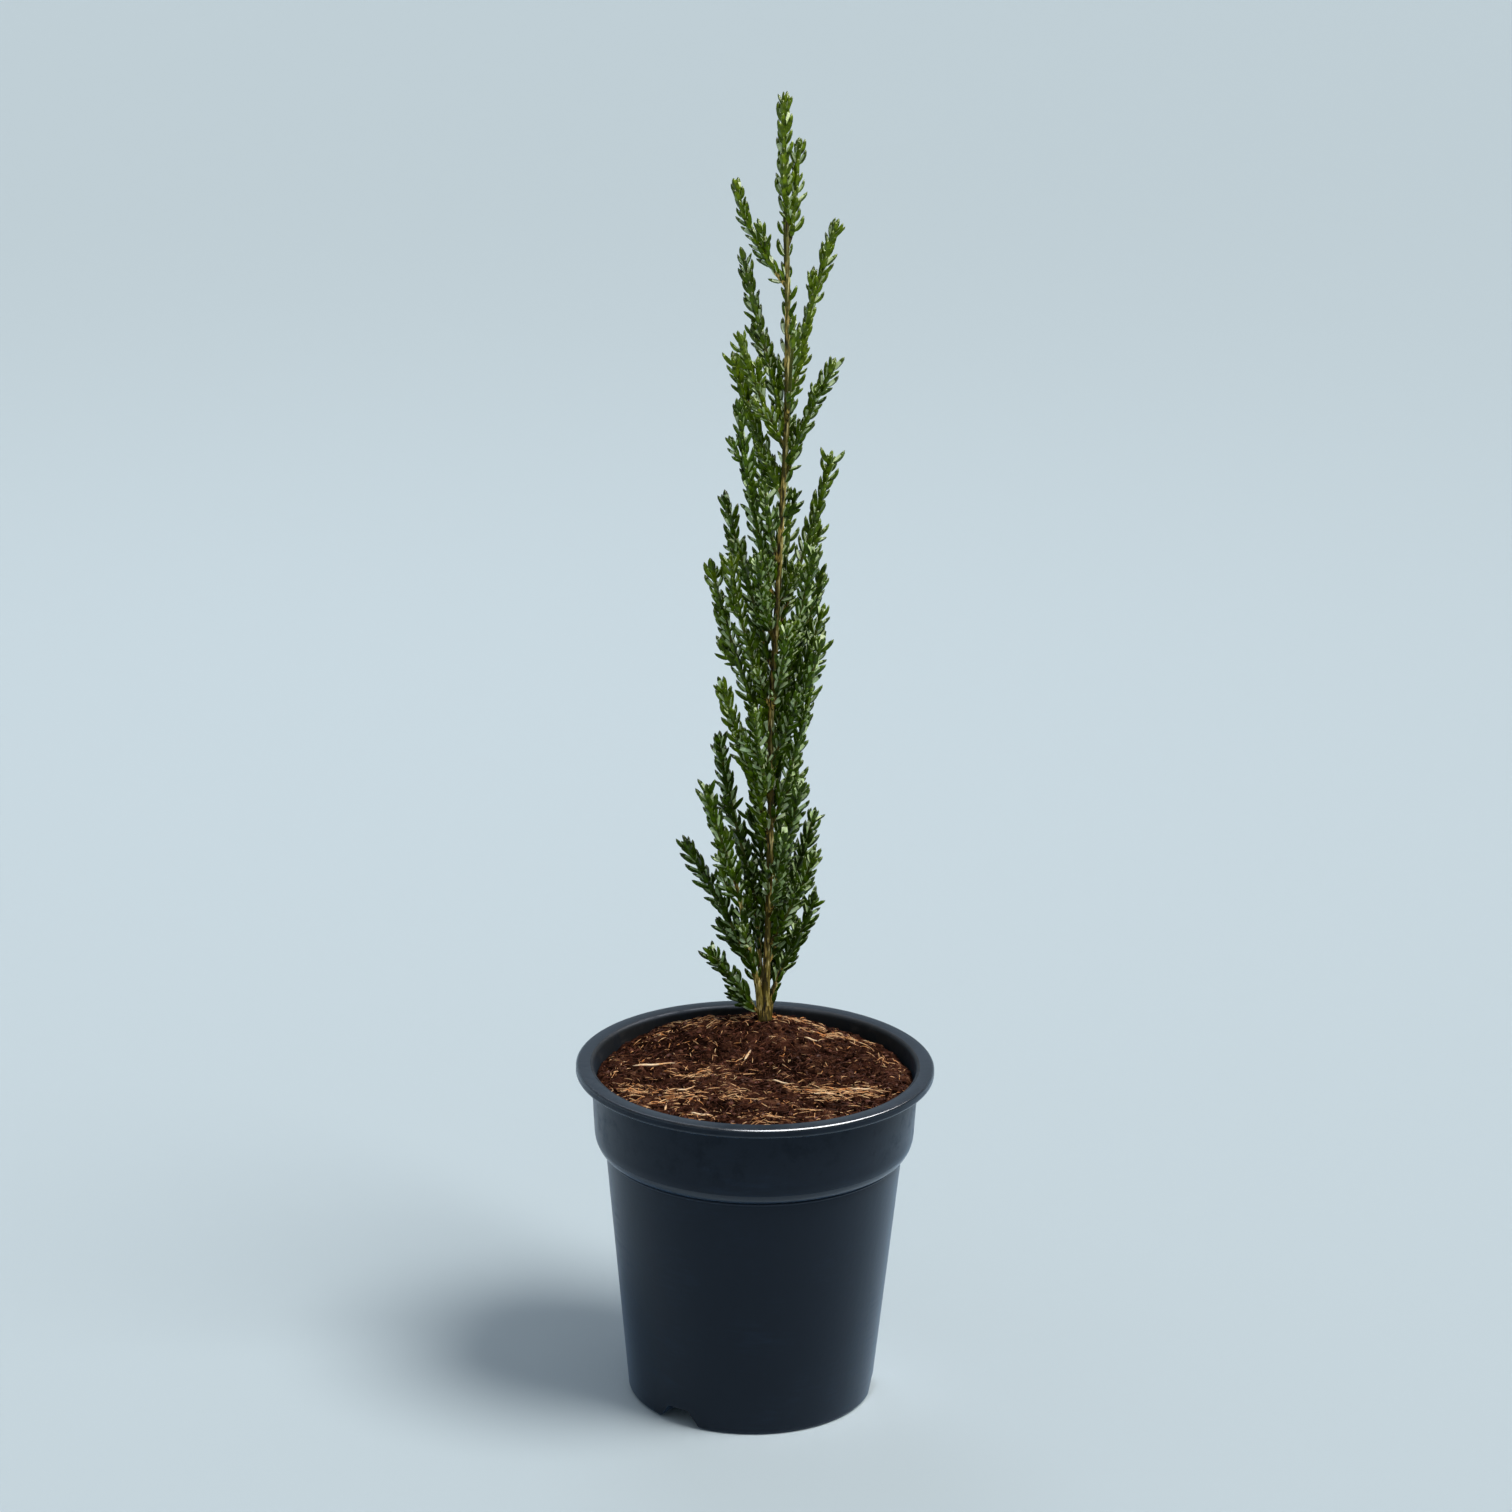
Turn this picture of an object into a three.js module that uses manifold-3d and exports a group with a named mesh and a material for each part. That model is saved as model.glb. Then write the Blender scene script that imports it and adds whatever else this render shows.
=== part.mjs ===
// A young Italian cypress in a round nursery pot, in millimetres, +Z up.
// The origin is the middle of the pot's flat underside. +X is the plant's right, +Y its back.
import * as THREE from 'three';
import { mergeVertices } from 'three/addons/utils/BufferGeometryUtils.js';
import Module from 'manifold-3d';

const wasm = await Module();
wasm.setup();

// Driving dimensions of the pot
const POT_HEIGHT = 136.5;
const RIM_RADIUS = 70;
const RIM_DEPTH = 3.6;
const RIM_ROUND = 1.2;
const RIM_CHAMFER = 0.7;
const LIP_FALL = 1.8;
const WALL = 1.2;
const COLLAR_TOP_RADIUS = 64;
const COLLAR_FOOT_RADIUS = 62.7;
const COLLAR_FOOT_HEIGHT = 110.3;
const BODY_TOP_RADIUS = 58.2;
const BODY_TOP_HEIGHT = 102;
const BASE_RADIUS = 48.6;
const BASE_CORNER = 1.8;
const FLOOR_THICKNESS = 1.8;
const FLOOR_ROUND = 3.2;
const FLOOR_RISE = 0.5;
const POT_SEGMENTS = 36;

// Three drainage channels run in under the base from the foot of the wall
const CHANNEL_COUNT = 3;
const CHANNEL_FIRST_ANGLE = -125;
const CHANNEL_WIDTH = 22;
const CHANNEL_HEIGHT = 7;
const CHANNEL_ROOF = 7;
const CHANNEL_STEPS = 4;
const CHANNEL_INNER_RADIUS = 30;
const DRAIN_RADIUS = 2.4;
const DRAIN_LENGTH = 8;
const CUT_BELOW = 2;

// The compost fills the pot to just below the rim and rises in a low mound round the stem
const CLEARANCE = 0.3;
const SOIL_LEVEL = 131.2;
const SOIL_SIDE_GAP = 0.45;
const SOIL_LIFT = 0.15;
const MOUND_RISE = 6.8;
const MOUND_FLAT_RADIUS = 4.6;
const MOUND_RADIUS = 24;
const MOUND_ROOT = 4;
const MOUND_STEPS = 5;
const MOUND_SEGMENTS = 18;

// The plant stands towards the back of the pot
const PLANT_X = 3.8;
const PLANT_Y = 47;
const GROUND = SOIL_LEVEL + MOUND_RISE;
const TRUNK_TOP = 326;
const TRUNK_FOOT_RADIUS = 1.55;
const TRUNK_MIDDLE_RADIUS = 1.2;
const TRUNK_TIP_RADIUS = 0.8;
const TRUNK_TAPER_HEIGHT = 50;
const TRUNK_FLARE_WIDTH = 1.3;
const TRUNK_FLARE_HEIGHT = 7;
const TRUNK_SIDES = 8;
const TRUNK_STEPS = 22;
// Sway of the trunk to the right at even steps of its height, and its lesser sway to the back
const TRUNK_SWAY = [0, 0.5, 0.9, 0.4, 1.8, 3.2, 4.5, 4.2, 2.9];
const TRUNK_BACK_SWAY = 0.4;
const BOUGH_SIDES = 7;
const BOUGH_STEPS = 8;
const LEADER_TOP = 370;
const LEADER_RIGHT = 1.8;
const LEADER_BOW = 0.5;

// Twigs and leaves
const STEM_RADIUS = 0.85;
const STEM_TIP_RADIUS = 0.42;
const STEM_STEP = 9;
const STEM_UPTURN = 0.3;
const STEM_BARE_ON_TRUNK = 8;
const STEM_BARE_ON_BOUGH = 5;
const TWIG_RADIUS = 0.55;
const TWIG_TIP_RADIUS = 0.35;
const TWIG_SPACING = 40;
const TWIG_SIZE = 0.85;
const LEAF_LENGTH = 12;
const LEAF_WIDTH = 5;
const LEAF_THICKNESS = 1.2;
const LEAF_PITCH = 10.9;
const LEADER_PITCH = 6;
const LEAF_SINK = 0.12;
const TIP_LEAF_SIZE = 0.75;
const TIP_LEAF_SINK = 0.6;
const TIP_LEAF_REACH = TIP_LEAF_SIZE * LEAF_LENGTH - TIP_LEAF_SINK - LEAF_SINK;
const GOLDEN_TURN = 2.4;

// Own space of a mass: its widest reach from its stem and the room it leaves to its neighbours
const PLUME_RADIUS = 6.8;
const SPACE_MARGIN = 0.3;
const STEM_ROOM = 1.6;
const LIMB_ROOM = 0.45;
const AXIS_STEP = 1.5;
const SEAT_ROUNDS = 5;
const SEAT_SEARCH = 10;

// Boughs at the foot of the trunk: way points as [height above ground, right, back], and end radii
const BOUGHS = [
  {
    name: 'bough_left',
    via: [[4.5, -3.7, -0.9], [14, -4.7, -1.3], [27, -7, -2], [53, -11.3, -4]],
    radii: [1.1, 0.7],
  },
  { name: 'bough_centre', via: [[7.5, -2.4, 2.5], [20, -2.9, 3.1], [42, -3.8, 4]], radii: [0.95, 0.7] },
  { name: 'bough_right', via: [[4.5, 3.8, 0.4], [9, 4.6, 0.5], [15, 5.8, 0.8]], radii: [1.0, 0.8] },
];

// Masses of foliage. On the trunk from is a height above the ground, on a bough it is the share of
// its length. Top is a height, right and back are the tip's offsets from the plant's axis, and bow
// is how far the stem bulges outwards.
const SPRAYS = [
  { name: 'spray_left_01', on: 'bough_left', from: 0.07, top: 32, right: -25, back: -6, bow: -1.5 },
  { name: 'spray_left_02', on: 'bough_left', from: 0.48, top: 74, right: -35.5, back: 4, bow: -2 },
  { name: 'spray_left_03', on: 'bough_left', from: 1, top: 100, right: -26.5, back: -8, bow: 0 },
  { name: 'spray_left_04', on: 'bough_centre', from: 1, top: 117, right: -22, back: 6, bow: 0 },
  { name: 'spray_left_05', on: 'trunk', from: 79, top: 143, right: -21, back: -10, bow: -2 },
  { name: 'spray_left_06', on: 'trunk', from: 115, top: 187, right: -26, back: 3, bow: 0 },
  { name: 'spray_left_07', on: 'trunk', from: 132, top: 193, right: -18, back: -6, bow: 1 },
  { name: 'spray_left_08', on: 'trunk', from: 147, top: 212, right: -20, back: 9, bow: -1 },
  { name: 'spray_left_09', on: 'trunk', from: 173, top: 255, right: -15, back: -12, bow: 1 },
  { name: 'spray_left_10', on: 'trunk', from: 217, top: 269, right: -18, back: 4, bow: 0 },
  { name: 'spray_left_11', on: 'trunk', from: 236, top: 281, right: -16, back: -9, bow: 0 },
  { name: 'spray_left_12', on: 'trunk', from: 243, top: 309, right: -14.5, back: 8, bow: -1 },
  { name: 'spray_left_13', on: 'trunk', from: 298, top: 337, right: -18, back: -5, bow: 1 },
  { name: 'spray_right_01', on: 'bough_right', from: 1, top: 52, right: 21, back: 3, bow: 0 },
  { name: 'spray_right_02', on: 'trunk', from: 33, top: 74, right: 20, back: -10, bow: 0 },
  { name: 'spray_right_03', on: 'trunk', from: 25, top: 86, right: 20, back: 7, bow: -1 },
  { name: 'spray_right_04', on: 'trunk', from: 62, top: 104, right: 14, back: -15, bow: 0 },
  { name: 'spray_right_05', on: 'trunk', from: 70, top: 107, right: 13, back: 13, bow: 0 },
  { name: 'spray_right_06', on: 'trunk', from: 84, top: 142, right: 17.5, back: -6, bow: 0 },
  { name: 'spray_right_07', on: 'trunk', from: 110, top: 162, right: 21.5, back: -15, bow: 0 },
  { name: 'spray_right_08', on: 'trunk', from: 119, top: 171, right: 21.5, back: -2, bow: 0 },
  { name: 'spray_right_09', on: 'trunk', from: 126, top: 183, right: 21, back: 12, bow: 0 },
  { name: 'spray_right_10', on: 'trunk', from: 138, top: 198, right: 17, back: -12, bow: 1 },
  { name: 'spray_right_11', on: 'trunk', from: 164, top: 231, right: 24, back: 5, bow: 0 },
  { name: 'spray_right_12', on: 'trunk', from: 225, top: 270, right: 24, back: -7, bow: -2 },
  { name: 'spray_right_13', on: 'trunk', from: 254, top: 322, right: 24, back: 5, bow: -2 },
  { name: 'spray_right_14', on: 'trunk', from: 313, top: 353, right: 8, back: 3, bow: 0 },
  { name: 'spray_front_06', on: 'trunk', from: 189, top: 225, right: -4, back: -13, bow: 1 },
];

// Shorter masses that fill the front and the back of the crown, as [height of joint, height of tip]
const FRONT_SPRAYS = [[45, 84], [93, 134], [131, 168], [158, 196], [246, 284]];
const BACK_SPRAYS = [[16, 62], [52, 102], [88, 140], [122, 172], [156, 206], [190, 238], [232, 282]];
const FILL_REACH = 19;
const FILL_STEP = 0.12;
const FILL_SIDE = 7;
const FILL_BOW = 0.5;

// Small helpers

function mix(a, b, t) {
  return a + (b - a) * t;
}

function seededRandom(seed) {
  let state = seed >>> 0;
  return () => {
    state = (state + 0x6d2b79f5) >>> 0;
    let mixed = Math.imul(state ^ (state >>> 15), state | 1);
    mixed ^= mixed + Math.imul(mixed ^ (mixed >>> 7), mixed | 61);
    return ((mixed ^ (mixed >>> 14)) >>> 0) / 4294967296;
  };
}

function profile(rows) {
  return rows.map(([radius, height]) => new THREE.Vector2(radius, height));
}

function solidOf(geometry) {
  const bare = geometry.clone();
  bare.deleteAttribute('normal');
  bare.deleteAttribute('uv');
  const merged = mergeVertices(bare, 1e-4);
  return new wasm.Manifold(new wasm.Mesh({
    numProp: 3,
    vertProperties: new Float32Array(merged.attributes.position.array),
    triVerts: new Uint32Array(merged.index.array),
  }));
}

function geometryOf(solid) {
  const mesh = solid.simplify(0.02).getMesh();
  const geometry = new THREE.BufferGeometry();
  geometry.setAttribute('position', new THREE.BufferAttribute(new Float32Array(mesh.vertProperties), 3));
  geometry.setIndex(new THREE.BufferAttribute(new Uint32Array(mesh.triVerts), 1));
  geometry.computeVertexNormals();
  return geometry;
}

function largestPiece(solid) {
  const pieces = solid.decompose();
  pieces.sort((a, b) => b.volume() - a.volume());
  return pieces[0];
}

function taperedLimb(curve, radiusAt, sides, steps) {
  const limb = new THREE.CylinderGeometry(1, 1, 1, sides, steps);
  const frames = curve.computeFrenetFrames(steps, false);
  const position = limb.attributes.position;
  const point = new THREE.Vector3();
  for (let i = 0; i < position.count; i += 1) {
    const along = position.getY(i) + 0.5;
    const step = Math.round(along * steps);
    const radius = radiusAt(along);
    curve.getPointAt(along, point);
    point.addScaledVector(frames.normals[step], position.getX(i) * radius);
    point.addScaledVector(frames.binormals[step], -position.getZ(i) * radius);
    position.setXYZ(i, point.x, point.y, point.z);
  }
  return limb;
}

// LatheGeometry turns its profile about Y, so each turned solid is stood up on +Z
function turned(points, segments) {
  return new THREE.LatheGeometry(points, segments).rotateX(Math.PI / 2);
}

// The pot

function potOutline(inset) {
  const rows = [];
  for (const angle of [0, 45, 90]) {
    const turn = THREE.MathUtils.degToRad(angle);
    const radius = BASE_RADIUS - BASE_CORNER * (1 - Math.sin(turn));
    rows.push([radius - inset, BASE_CORNER * (1 - Math.cos(turn))]);
  }
  for (const angle of [0, 30, 60, 90]) {
    const turn = THREE.MathUtils.degToRad(angle);
    const radius = mix(BODY_TOP_RADIUS, COLLAR_FOOT_RADIUS, Math.sin(turn));
    rows.push([radius - inset, mix(BODY_TOP_HEIGHT, COLLAR_FOOT_HEIGHT, 1 - Math.cos(turn))]);
  }
  return rows;
}

// The part of the outline above the rounded corner of the base
function wallOutline(inset) {
  return potOutline(inset).slice(2);
}

function rimOutline() {
  const foot = POT_HEIGHT - RIM_DEPTH;
  const rows = [[COLLAR_TOP_RADIUS, foot], [RIM_RADIUS - RIM_CHAMFER, foot]];
  rows.push([RIM_RADIUS, foot + RIM_CHAMFER]);
  for (const angle of [0, 45, 90]) {
    const turn = THREE.MathUtils.degToRad(angle);
    rows.push([RIM_RADIUS - RIM_ROUND * (1 - Math.cos(turn)), POT_HEIGHT - RIM_ROUND * (1 - Math.sin(turn))]);
  }
  rows.push([COLLAR_TOP_RADIUS, POT_HEIGHT], [COLLAR_TOP_RADIUS - WALL, POT_HEIGHT - LIP_FALL]);
  return rows;
}

// The rounded foot of the inside, as seen from the middle of the floor
function floorOutline(inset, height) {
  const radius = BASE_RADIUS - inset;
  return [[0, height], [radius - FLOOR_ROUND, height], [radius - FLOOR_ROUND / 2, height + FLOOR_RISE]];
}

function potProfile() {
  const inside = [...floorOutline(WALL, FLOOR_THICKNESS), ...wallOutline(WALL)].reverse();
  return profile([[0, 0], ...potOutline(0), ...rimOutline(), ...inside]);
}

function channelOutline(grow) {
  const left = [];
  for (let i = 0; i <= CHANNEL_STEPS; i += 1) {
    const t = i / CHANNEL_STEPS;
    const side = mix(CHANNEL_WIDTH / 2, CHANNEL_ROOF / 2, t) + grow;
    left.push([-side, CHANNEL_HEIGHT * (1 - Math.cos(Math.PI * t)) / 2 + grow]);
  }
  const right = left.map(([side, height]) => [-side, height]).reverse();
  const foot = CHANNEL_WIDTH / 2 + grow;
  return new THREE.Shape(profile([[-foot, -CUT_BELOW], ...left, ...right, [foot, -CUT_BELOW]]));
}

// A channel lies along +X before it is turned to its angle about Z
function channelSolid(grow, angle) {
  const depth = RIM_RADIUS - CHANNEL_INNER_RADIUS + grow;
  const block = new THREE.ExtrudeGeometry(channelOutline(grow), { depth, bevelEnabled: false });
  block.rotateX(Math.PI / 2).rotateZ(Math.PI / 2);
  block.translate(CHANNEL_INNER_RADIUS - grow, 0, 0);
  block.rotateZ(THREE.MathUtils.degToRad(angle));
  return solidOf(block);
}

function drainHole(angle) {
  const hole = new THREE.CylinderGeometry(DRAIN_RADIUS, DRAIN_RADIUS, DRAIN_LENGTH, 8);
  hole.rotateZ(Math.PI / 2);
  hole.translate(CHANNEL_INNER_RADIUS, 0, CHANNEL_HEIGHT / 2);
  hole.rotateZ(THREE.MathUtils.degToRad(angle));
  return solidOf(hole);
}

function channelAngles() {
  return Array.from({ length: CHANNEL_COUNT }, (_, i) => CHANNEL_FIRST_ANGLE + (360 / CHANNEL_COUNT) * i);
}

function potEnvelope() {
  return solidOf(turned(profile([[0, 0], ...potOutline(0), [0, COLLAR_FOOT_HEIGHT]]), POT_SEGMENTS));
}

function makePot() {
  let pot = solidOf(turned(potProfile(), POT_SEGMENTS));
  const envelope = potEnvelope();
  for (const angle of channelAngles()) {
    pot = pot.add(channelSolid(WALL, angle).intersect(envelope));
  }
  for (const angle of channelAngles()) {
    pot = pot.subtract(channelSolid(0, angle)).subtract(drainHole(angle));
  }
  return geometryOf(largestPiece(pot));
}

// The compost

function soilProfile() {
  const inset = WALL + SOIL_SIDE_GAP;
  const wall = wallOutline(inset).map(([radius, height]) => [radius, height + SOIL_LIFT]);
  const share = (SOIL_LEVEL - COLLAR_FOOT_HEIGHT) / (POT_HEIGHT - COLLAR_FOOT_HEIGHT);
  const edge = mix(COLLAR_FOOT_RADIUS, COLLAR_TOP_RADIUS, share) - inset;
  const foot = floorOutline(inset, FLOOR_THICKNESS + CLEARANCE);
  return profile([...foot, ...wall, [edge, SOIL_LEVEL], [0, SOIL_LEVEL]]);
}

function moundProfile() {
  const foot = SOIL_LEVEL - MOUND_ROOT;
  const rows = [[0, foot], [MOUND_RADIUS, foot]];
  for (let i = 0; i <= MOUND_STEPS; i += 1) {
    const t = i / MOUND_STEPS;
    const rise = MOUND_RISE * (1 - Math.cos(Math.PI * t)) / 2;
    rows.push([mix(MOUND_RADIUS, MOUND_FLAT_RADIUS, t), SOIL_LEVEL + rise]);
  }
  return profile([...rows, [0, GROUND]]);
}

// The room inside the collar that the mound may take up
function collarRoom() {
  const radius = COLLAR_FOOT_RADIUS - WALL - SOIL_SIDE_GAP;
  const rows = [[0, COLLAR_FOOT_HEIGHT], [radius, COLLAR_FOOT_HEIGHT], [radius, GROUND + 1], [0, GROUND + 1]];
  return solidOf(turned(profile(rows), POT_SEGMENTS));
}

function makeSoil() {
  const mound = solidOf(turned(moundProfile(), MOUND_SEGMENTS).translate(PLANT_X, PLANT_Y, 0));
  let soil = solidOf(turned(soilProfile(), POT_SEGMENTS)).add(mound.intersect(collarRoom()));
  for (const angle of channelAngles()) {
    soil = soil.subtract(channelSolid(WALL + CLEARANCE, angle));
  }
  return geometryOf(largestPiece(soil));
}

// The trunk and the boughs

function plantPoint(height, right, back) {
  return new THREE.Vector3(PLANT_X + right, PLANT_Y + back, GROUND + height);
}

function trunkCurve() {
  const last = TRUNK_SWAY.length - 1;
  return new THREE.CatmullRomCurve3(TRUNK_SWAY.map((sway, i) => {
    const back = TRUNK_BACK_SWAY * Math.sin(i * 1.7) * Math.min(1, i);
    return plantPoint(mix(CLEARANCE, TRUNK_TOP, i / last), sway, back);
  }));
}

function trunkRadius(along) {
  const height = along * TRUNK_TOP;
  const flare = TRUNK_FLARE_WIDTH * Math.exp(-height / TRUNK_FLARE_HEIGHT);
  const butt = (TRUNK_FOOT_RADIUS - TRUNK_MIDDLE_RADIUS) * Math.exp(-height / TRUNK_TAPER_HEIGHT);
  return mix(TRUNK_MIDDLE_RADIUS, TRUNK_TIP_RADIUS, along) + butt + flare;
}

// The trunk's foot is cut flat where it stands on the compost
function makeTrunk() {
  const curve = trunkCurve();
  const limb = solidOf(taperedLimb(curve, trunkRadius, TRUNK_SIDES, TRUNK_STEPS));
  const room = new THREE.BoxGeometry(2 * RIM_RADIUS, 2 * RIM_RADIUS, 2 * TRUNK_TOP);
  room.translate(PLANT_X, PLANT_Y, GROUND + CLEARANCE + TRUNK_TOP);
  return { name: 'trunk', curve, radiusAt: trunkRadius, solid: limb.intersect(solidOf(room)) };
}

function makeBough(bough) {
  const curve = new THREE.CatmullRomCurve3(bough.via.map((row) => plantPoint(...row)));
  const radiusAt = (along) => mix(bough.radii[0], bough.radii[1], along);
  const solid = solidOf(taperedLimb(curve, radiusAt, BOUGH_SIDES, BOUGH_STEPS));
  return { name: bough.name, curve, radiusAt, solid };
}

// The stems of the foliage masses

function stemSolid(curve) {
  const steps = Math.max(5, Math.round(curve.getLength() / STEM_STEP));
  return solidOf(taperedLimb(curve, (along) => mix(STEM_RADIUS, STEM_TIP_RADIUS, along), 3, steps));
}

// The place on a limb's axis where a mass joins, and the way its stem leaves it
function jointOf(spray, limb, tip) {
  const onTrunk = limb.name === 'trunk';
  const along = onTrunk ? (spray.from - CLEARANCE) / (TRUNK_TOP - CLEARANCE) : spray.from;
  const place = limb.curve.getPointAt(along);
  const outward = new THREE.Vector3(tip.x - place.x, tip.y - place.y, 0).normalize();
  const leave = along < 1 ? outward : limb.curve.getTangentAt(1);
  return { place, outward, leave };
}

function stemCurve(spray, limb, offset) {
  const tip = plantPoint(spray.top, spray.right, spray.back);
  const { place, outward, leave } = jointOf(spray, limb, tip);
  const start = place.addScaledVector(leave, offset);
  const length = tip.distanceTo(start);
  const upturn = tip.clone().sub(start).multiplyScalar((1 - STEM_UPTURN) / length);
  upturn.z += STEM_UPTURN;
  upturn.normalize();
  tip.addScaledVector(upturn, -TIP_LEAF_REACH);
  const chord = tip.clone().sub(start);
  const across = outward.clone().addScaledVector(chord, -outward.dot(chord) / chord.lengthSq()).normalize();
  const bulge = across.multiplyScalar(spray.bow * 4 / 3);
  const first = start.clone().addScaledVector(chord, 1 / 3).add(bulge);
  const second = tip.clone().addScaledVector(upturn, -length / 3).add(bulge);
  return new THREE.CubicBezierCurve3(start, first, second, tip);
}

function leaderCurve(trunk, offset) {
  const foot = trunk.curve.getPointAt(1).addScaledVector(trunk.curve.getTangentAt(1), offset);
  const top = plantPoint(LEADER_TOP - TIP_LEAF_REACH, LEADER_RIGHT, 0);
  const middle = foot.clone().lerp(top, 0.5);
  middle.x -= LEADER_BOW;
  return new THREE.QuadraticBezierCurve3(foot, middle, top);
}

// The foot of a stem is moved in or out until it stands clear of its limb by the clearance
function seated(curveAt, limb) {
  let offset = limb.radiusAt(0) + STEM_RADIUS + CLEARANCE;
  for (let i = 0; i < SEAT_ROUNDS; i += 1) {
    offset -= limb.solid.minGap(stemSolid(curveAt(offset)), SEAT_SEARCH) - CLEARANCE;
  }
  return curveAt(offset);
}

// Front and back masses lean to the left and the right by turns
function fillSprays(side, reach, rows) {
  return rows.map(([from, top], i) => ({
    name: `spray_${side}_${String(i + 1).padStart(2, '0')}`,
    on: 'trunk',
    from,
    top,
    right: i % 2 === 0 ? FILL_SIDE : -FILL_SIDE,
    back: reach * (1 - FILL_STEP * (i % 3)),
    bow: FILL_BOW,
  }));
}

// Own space: a mass keeps to the points that lie nearer its stem than any other stem

function sampled(curve) {
  return curve.getSpacedPoints(Math.max(4, Math.ceil(curve.getLength() / AXIS_STEP)));
}

function distanceTo(points, point) {
  return points.reduce((least, other) => Math.min(least, other.distanceTo(point)), Infinity);
}

function limbGap(limb, point) {
  const last = limb.points.length - 1;
  return limb.points.reduce((least, other, i) => (
    Math.min(least, other.distanceTo(point) - limb.radiusAt(i / last))
  ), Infinity);
}

function isFree(point, space, reach) {
  const own = distanceTo(space.mass.points, point);
  const least = Math.max(own + SPACE_MARGIN, STEM_ROOM);
  return own < reach
    && space.others.every((other) => distanceTo(other.points, point) >= least)
    && space.limbs.every((limb) => limbGap(limb, point) > LIMB_ROOM);
}

// Leaves and twigs

function leafPlacement(root, along, outward, angle, size) {
  const direction = along.clone().multiplyScalar(Math.cos(angle)).addScaledVector(outward, Math.sin(angle));
  const across = new THREE.Vector3().crossVectors(direction, outward).normalize();
  const thick = new THREE.Vector3().crossVectors(across, direction).normalize();
  const centre = root.clone().addScaledVector(direction, size * LEAF_LENGTH / 2 - LEAF_SINK);
  return { centre, direction, across, thick, size };
}

// A leaf is a keeled spindle: two side edges and a keel run from its root to its tip
function keeledLeaf() {
  const side = Math.sqrt(3) / 2;
  const corners = [0, 0, 1, 0, 0, -1, 0, 1, 0, -side, -0.5, 0, side, -0.5, 0];
  const faces = [0, 2, 3, 0, 3, 4, 0, 4, 2, 1, 3, 2, 1, 4, 3, 1, 2, 4];
  return new THREE.PolyhedronGeometry(corners, faces, 1, 0);
}

function leafSolid(leaf) {
  const matrix = new THREE.Matrix4().makeBasis(
    leaf.across.clone().multiplyScalar(leaf.size * LEAF_WIDTH / Math.sqrt(3)),
    leaf.thick.clone().multiplyScalar(LEAF_THICKNESS * 2 / 3),
    leaf.direction.clone().multiplyScalar(leaf.size * LEAF_LENGTH / 2),
  ).setPosition(leaf.centre);
  if (matrix.determinant() < 0) matrix.scale(new THREE.Vector3(-1, 1, 1));
  return solidOf(keeledLeaf().applyMatrix4(matrix));
}

// Probes on a leaf as shares of its half length, half width and half thickness
const LEAF_PROBES = [
  [1, 0, 0], [0.5, 0, 0], [0, 0, 0], [-0.4, 0, 0], [0, 0, 1], [0, 0, -1],
  [0, 1, 0], [0, -1, 0], [0.5, 0.5, 0], [0.5, -0.5, 0],
];

function leafIsFree(leaf, space, reach) {
  return LEAF_PROBES.every(([along, across, thick]) => {
    const probe = leaf.centre.clone();
    probe.addScaledVector(leaf.direction, along * leaf.size * LEAF_LENGTH / 2);
    probe.addScaledVector(leaf.across, across * leaf.size * LEAF_WIDTH / 2);
    probe.addScaledVector(leaf.thick, thick * LEAF_THICKNESS / 2);
    return isFree(probe, space, reach);
  });
}

// Pairs of leaves stand opposite each other and each pair is turned a quarter from the last
function leafPairs(curve, space, row) {
  const length = curve.getLength();
  const leaves = [];
  let spin = space.random() * Math.PI;
  for (let place = row.start; place < length - 1; place += row.pitch) {
    const t = place / length;
    const along = curve.getTangentAt(t);
    const side = new THREE.Vector3(0, 0, 1).cross(along).normalize();
    const turn = spin + (space.random() - 0.5) * 0.5;
    for (const half of [0, Math.PI]) {
      const outward = side.clone().applyAxisAngle(along, turn + half);
      const angle = mix(0.52, 0.32, t) + (space.random() - 0.5) * 0.12;
      const size = row.size * mix(1.05, 0.85, t) * mix(0.92, 1.08, space.random());
      leaves.push(leafPlacement(curve.getPointAt(t), along, outward, angle, size));
    }
    spin += Math.PI / 2;
  }
  return leaves.filter((leaf) => leafIsFree(leaf, space, PLUME_RADIUS));
}

function tipLeaf(curve, space, size) {
  const along = curve.getTangentAt(1);
  const outward = new THREE.Vector3(0, 1, 0).cross(along).normalize();
  const root = curve.getPointAt(1).addScaledVector(along, -TIP_LEAF_SINK);
  const leaf = leafPlacement(root, along, outward, 0, size * TIP_LEAF_SIZE);
  leaf.across.crossVectors(leaf.direction, outward).normalize();
  return leafIsFree(leaf, space, LEAF_LENGTH) ? [leaf] : [];
}

function sideTwig(space, t, turn) {
  const along = space.mass.curve.getTangentAt(t);
  const root = space.mass.curve.getPointAt(t);
  const outward = new THREE.Vector3(0, 0, 1).cross(along).normalize().applyAxisAngle(along, turn);
  const angle = mix(0.38, 0.5, space.random());
  const reach = mix(8, 12, space.random()) * mix(1.1, 0.85, t);
  const direction = along.clone().multiplyScalar(Math.cos(angle)).addScaledVector(outward, Math.sin(angle));
  const middle = root.clone().addScaledVector(direction, reach * 0.55);
  const tip = root.clone().addScaledVector(direction, reach * 0.8).addScaledVector(along, reach * 0.24);
  return new THREE.QuadraticBezierCurve3(root, middle, tip);
}

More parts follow.
